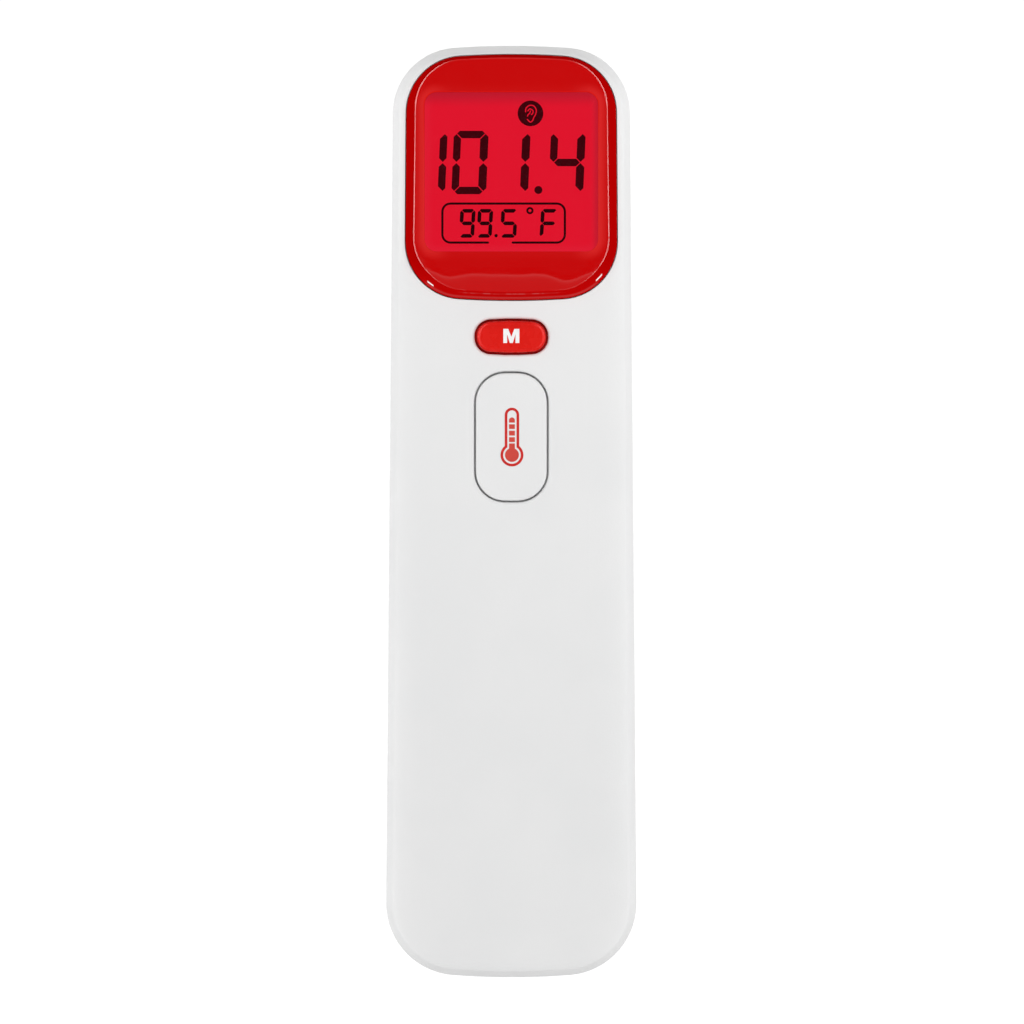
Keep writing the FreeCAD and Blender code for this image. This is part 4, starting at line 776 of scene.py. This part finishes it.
def large_reading(front, ink):
    """The reading, 101.4. A 1 fills only the right-hand half of its place."""
    size = {"z": 131.12, "width": 4.34, "height": 9.0, "thick": 1.19, "gap": 0.10, "lean": 0.0425}
    to_centre = size["width"] / 2
    shapes = digit("1", -11.04 - to_centre, **size)
    for character, x in (("0", -6.67), ("1", 2.24 - to_centre), ("4", 8.94)):
        shapes += digit(character, x, right_bold=1.10, **size)
    shapes.append(disc(4.35, 126.70, 0.64))
    extruded("display_reading", shapes, front, DISPLAY_THICKNESS, ink, "case")


def small_reading(front, ink):
    """The fever limit, 99.5, with its degree ring and F."""
    size = {"z": 121.34, "height": 4.02, "thick": 0.60, "gap": 0.05, "lean": 0.06}
    places = (("9", -7.09, 1.86), ("9", -4.26, 1.86), ("5", -0.40, 2.04), ("F", 6.02, 2.12))
    shapes = []
    for character, x, width in places:
        shapes += digit(character, x, width=width, **size)
    shapes.append(disc(-2.45, 119.36, 0.27, 24))
    shapes.append(ring(2.99, 123.39, 0.58, 0.25))
    extruded("display_limit", shapes, front, DISPLAY_THICKNESS, ink, "case")


def small_frame(front, ink):
    """The line round the small reading, open in the middle of its lower edge."""
    low, high = 118.25, 124.52
    gap_left, gap_right = -3.75, 0.24
    path = rounded_path(-11.08, 8.61, low, high, 1.30)
    outline = stroke([(gap_right, low)] + path + [(gap_left, low)], 0.35)
    extruded("display_frame", [outline], front, DISPLAY_THICKNESS, ink, "case")


def ear_symbol(front, ink):
    """A dark disc with the lines of an ear on it: the rim, the bowl and the canal."""
    lit = lit_display("ear_line_lit")
    extruded("ear_disc", [disc(3.08, 139.02, 2.06, 64)], front, DISPLAY_THICKNESS, ink, "case")
    rim = [(2.30, 139.27), (2.38, 139.86), (2.96, 140.31), (3.62, 140.20), (4.00, 139.61)]
    rim += [(3.93, 138.94), (3.62, 138.36), (3.44, 137.90), (3.05, 137.62), (2.58, 138.05)]
    bowl = [(2.66, 139.42), (2.98, 139.74), (3.47, 139.45), (3.42, 138.97), (3.22, 138.84)]
    canal = [(3.08, 139.40), (2.95, 139.05), (2.72, 138.83), (2.60, 138.58)]
    lines = [stroke(smooth_line(curve), 0.19) for curve in (rim, bowl, canal)]
    line_front = front - EAR_LINE_THICKNESS
    extruded("ear_lines", lines, line_front, EAR_LINE_THICKNESS, lit, "case")


def mode_letter():
    """A plain block M in white on the upper button."""
    white = moulded_plastic("mark_white", (0.86, 0.86, 0.86), 0.4, 0.2, 0.002)
    half, low, high = 1.29, 102.10, 104.37
    stem, shoulder, notch_half = 0.62, 0.80, 0.24
    dip, rise = low + 1.00, high - 0.86
    outline = [(-half, low), (-half, high), (-half + shoulder, high), (0, dip)]
    outline += [(half - shoulder, high), (half, high), (half, low), (half - stem, low)]
    outline += [(half - stem, rise), (notch_half, low), (-notch_half, low)]
    outline += [(-half + stem, rise), (-half + stem, low)]
    front = mode_low.y - LETTER_RISE
    extruded("mode_letter", [outline], front, LETTER_THICKNESS, white, "mode_key")


def scan_symbol():
    """A thermometer pictogram printed on the large button."""
    red = moulded_plastic("mark_red", ICON_RED, 0.45, 0.2, 0.002)
    pale = moulded_plastic("mark_pale_red", ICON_FILL, 0.45, 0.2, 0.002)
    front = scan_low.y - SYMBOL_RISE
    centre, bulb_z, top = 0.10, 84.10, 91.70
    stem, bulb, line = 1.16, 1.84, 0.42

    def bulb_points(radius, half, steps):
        """An arc round the bulb that stops at both sides of a stem 2 * half wide."""
        meet = math.degrees(math.asin(half / radius))
        return arc_points(centre, bulb_z, radius, 90 + meet, 450 - meet, steps)

    def outline(grow):
        """The bulb and stem's outline, moved outwards by grow."""
        path = bulb_points(bulb + grow, stem + grow, 48)
        return path + arc_points(centre, top - stem, stem + grow, 0, 180, 20)

    edge = (outline(0.0), outline(-line))
    extruded("scan_symbol_line", [edge], front, SYMBOL_THICKNESS, red, "scan_key")
    bar, bulb_fill = 0.47, 1.12
    left, right = centre - bar, centre + bar
    shapes = [bulb_points(bulb_fill, bar, 40) + [(right, 85.95), (left, 85.95)]]
    for low, high in ((86.18, 86.95), (87.22, 88.00), (88.28, 89.03)):
        shapes.append([(left, low), (right, low), (right, high), (left, high)])
    shapes.append([(left, 89.30), (right, 89.30)] + arc_points(centre, 89.66, bar, 0, 180, 16))
    extruded("scan_symbol_fill", shapes, front, SYMBOL_THICKNESS, pale, "scan_key")


# --- Studio ---------------------------------------------------------------------------------

# Light on matt surfaces: from the front, added from the sides, added from the right (a little
# less than from the left), and lost from overhead.
FRONT_FILL = 0.54
SIDE_FILL = 1.68
RIGHT_FILL = -0.06
OVERHEAD_LOSS = 0.46
# Light from the floor on matt surfaces, and its brightness and the world's to the camera.
FLOOR_FILL = 0.98
FLOOR_SEEN = 1.15
WORLD_SEEN = 1.05
# The floor lies low enough for the battery door to slide off downwards.
FLOOR_Z = cad_bounds[0].z - 80 * MM
FLOOR_REACH = 20.0
SQUARE = ((-1, -1), (1, -1), (1, 1), (-1, 1))
# Brightness of the two tall strip lights and of the weak one above, for glossy surfaces.
STRIP_LIGHT = 8.0
TOP_STRIP_LIGHT = 0.6


def backdrop():
    """A pale floor that fades into the white surroundings, and is clear from below.

    Glossy surfaces see it as dark, but for a bright patch in front of the thermometer and its
    wings at both sides. Distances there are in floor-to-lens heights.
    """
    t = Tree("floor_white")
    speck = t.noise(2 * MM, 2.0)
    tint = t.mix(speck, (0.88, 0.88, 0.88), (0.92, 0.92, 0.92))
    matte = t.add("ShaderNodeBsdfDiffuse", {"Color": tint, "Roughness": 0.5})
    path = t.add("ShaderNodeLightPath").outputs
    for_camera = t.ramp(path["Is Camera Ray"], 0.4, 0.6, FLOOR_FILL, FLOOR_SEEN)
    x, y, _ = t.xyz()
    drop = lens_low.z - FLOOR_Z
    near = t.math("DIVIDE", y, -drop)
    edge = t.math("MULTIPLY", t.ramp(near, 10.4, 8.6), t.ramp(near, 0.9, 2.3))
    off_line = t.math("DIVIDE", t.math("ABSOLUTE", x), t.math("MAXIMUM", near, 0.1))
    spread = t.ramp(off_line, 0.5 * drop, 0.3 * drop)
    patch = t.math("ADD", t.ramp(near, 1.8, 9.0, 0.16, 0.30), t.ramp(near, 5.4, 9.0, 0.0, 0.5))
    patch = t.math("MULTIPLY", t.math("MULTIPLY", patch, edge), spread)
    beside = t.ramp(off_line, 0.3 * drop, 0.6 * drop)
    wings = t.math("MULTIPLY", beside, t.ramp(near, 0.72, 1.8, 0.03, 6.0))
    kerb = t.math("MULTIPLY", t.ramp(near, 1.0, 1.27), t.ramp(near, 2.0, 1.72, 0.0, 1.1))
    patch = t.math("ADD", t.math("ADD", patch, wings), kerb)
    glossy = t.add("ShaderNodeMix", {0: path["Is Glossy Ray"], 2: for_camera, 3: patch})
    glow = t.add("ShaderNodeEmission", {"Color": (1, 1, 1), "Strength": glossy.outputs[0]})
    share = t.ramp(path["Is Glossy Ray"], 0.4, 0.6, 0.93, 1.0)
    both = t.add("ShaderNodeMixShader", {0: share, 1: matte.outputs[0], 2: glow.outputs[0]})
    under = t.add("ShaderNodeNewGeometry").outputs["Backfacing"]
    clear = t.add("ShaderNodeBsdfTransparent", {"Color": (1, 1, 1)})
    sided = t.add("ShaderNodeMixShader", {0: under, 1: both.outputs[0], 2: clear.outputs[0]})
    material = t.done(sided.outputs[0])
    mesh = bpy.data.meshes.new("floor")
    corners = [(x * FLOOR_REACH, y * FLOOR_REACH, 0) for x, y in SQUARE]
    mesh.from_pydata(corners, [], [(0, 1, 2, 3)])
    mesh.materials.append(material)
    floor = bpy.data.objects.new("floor", mesh)
    floor.location.z = FLOOR_Z
    bpy.context.scene.collection.objects.link(floor)


def surroundings():
    """White surroundings for matt surfaces; glossy ones see a dark studio with strip lights."""
    world = bpy.data.worlds.new("studio")
    bpy.context.scene.world = world
    world.use_nodes = True
    tree = world.node_tree
    tree.nodes.clear()
    link = tree.links.new

    def add(kind, **settings):
        node = tree.nodes.new(kind)
        for key, setting in settings.items():
            setattr(node, key, setting)
        return node

    def fill(node, *entries):
        for socket, entry in zip(node.inputs, entries):
            if isinstance(entry, bpy.types.NodeSocket):
                link(entry, socket)
            else:
                socket.default_value = entry
        return node.outputs[0]

    def calculate(operation, *entries):
        return fill(add("ShaderNodeMath", operation=operation), *entries)

    def ramp(entry, low, high, out_low=0.0, out_high=1.0):
        step = add("ShaderNodeMapRange", interpolation_type="SMOOTHSTEP")
        return fill(step, entry, low, high, out_low, out_high)

    way = add("ShaderNodeSeparateXYZ")
    link(add("ShaderNodeTexCoord").outputs["Generated"], way.inputs[0])
    x, y, z = way.outputs
    across = calculate("ABSOLUTE", x)
    towards = calculate("MULTIPLY", y, -1.0)

    # Matt surfaces: level at the front, brighter from the sides, dimmer from overhead.
    sides = calculate("MULTIPLY", calculate("POWER", across, 2.0), SIDE_FILL)
    overhead = calculate("MULTIPLY", calculate("MAXIMUM", z, 0.0), -OVERHEAD_LOSS)
    right = calculate("MULTIPLY", x, RIGHT_FILL)
    wrapped = calculate("ADD", calculate("ADD", sides, overhead), right)
    matt = calculate("ADD", wrapped, FRONT_FILL)

    # Glossy surfaces: tall strips left and right, a weak one above, and a white wall behind.
    slant = calculate("MULTIPLY", ramp(towards, 0.97, 0.90), ramp(towards, 0.10, 0.30))
    tall = calculate("MULTIPLY", slant, ramp(across, 0.15, 0.35, 0.0, STRIP_LIGHT))
    above = calculate("MULTIPLY", slant, ramp(z, 0.25, 0.5, 0.0, TOP_STRIP_LIGHT))
    wall = ramp(y, 0.12, 0.45, 0.03, 0.95)
    glossy = calculate("ADD", calculate("ADD", tall, above), wall)

    path = add("ShaderNodeLightPath")
    mirror = fill(add("ShaderNodeMix", data_type="FLOAT"), path.outputs["Is Glossy Ray"])
    link(matt, mirror.node.inputs[2])
    link(glossy, mirror.node.inputs[3])
    seen = fill(add("ShaderNodeMix", data_type="FLOAT"), path.outputs["Is Camera Ray"])
    link(mirror, seen.node.inputs[2])
    seen.node.inputs[3].default_value = WORLD_SEEN
    background = add("ShaderNodeBackground")
    background.inputs["Color"].default_value = (1, 1, 1, 1)
    link(seen, background.inputs["Strength"])
    link(background.outputs[0], add("ShaderNodeOutputWorld").inputs["Surface"])


def key_light():
    """A small soft light above the display, which only matt surfaces show."""
    place = Vector((0.06, -0.32, 0.26))
    aim = Vector((0, 0, 0.11))
    data = bpy.data.lights.new("key", "AREA")
    data.shape = "RECTANGLE"
    data.size = data.size_y = 0.12
    data.energy = 0.24
    light = bpy.data.objects.new("key", data)
    light.location = place
    light.visible_camera = False
    light.visible_glossy = False
    light.rotation_mode = "QUATERNION"
    light.rotation_quaternion = (aim - place).to_track_quat("-Z", "Y")
    bpy.context.scene.collection.objects.link(light)


def camera():
    """Straight on to the front, far enough back for very little perspective."""
    data = bpy.data.cameras.new("camera")
    distance = 5.0
    seen_height = 164.9 * MM
    data.sensor_width = 36
    data.lens = data.sensor_width * distance / seen_height
    data.clip_start, data.clip_end = 0.1, 60
    viewer = bpy.data.objects.new("camera", data)
    viewer.location = (0.11 * MM, SEAM_Y - distance, 74.93 * MM)
    viewer.rotation_euler = (math.pi / 2, 0, 0)
    bpy.context.scene.collection.objects.link(viewer)
    bpy.context.scene.camera = viewer


give_materials()
display_artwork()
mode_letter()
scan_symbol()
backdrop()
surroundings()
key_light()
camera()
bpy.context.scene.view_settings.view_transform = "Standard"
bpy.context.scene.view_settings.look = "None"
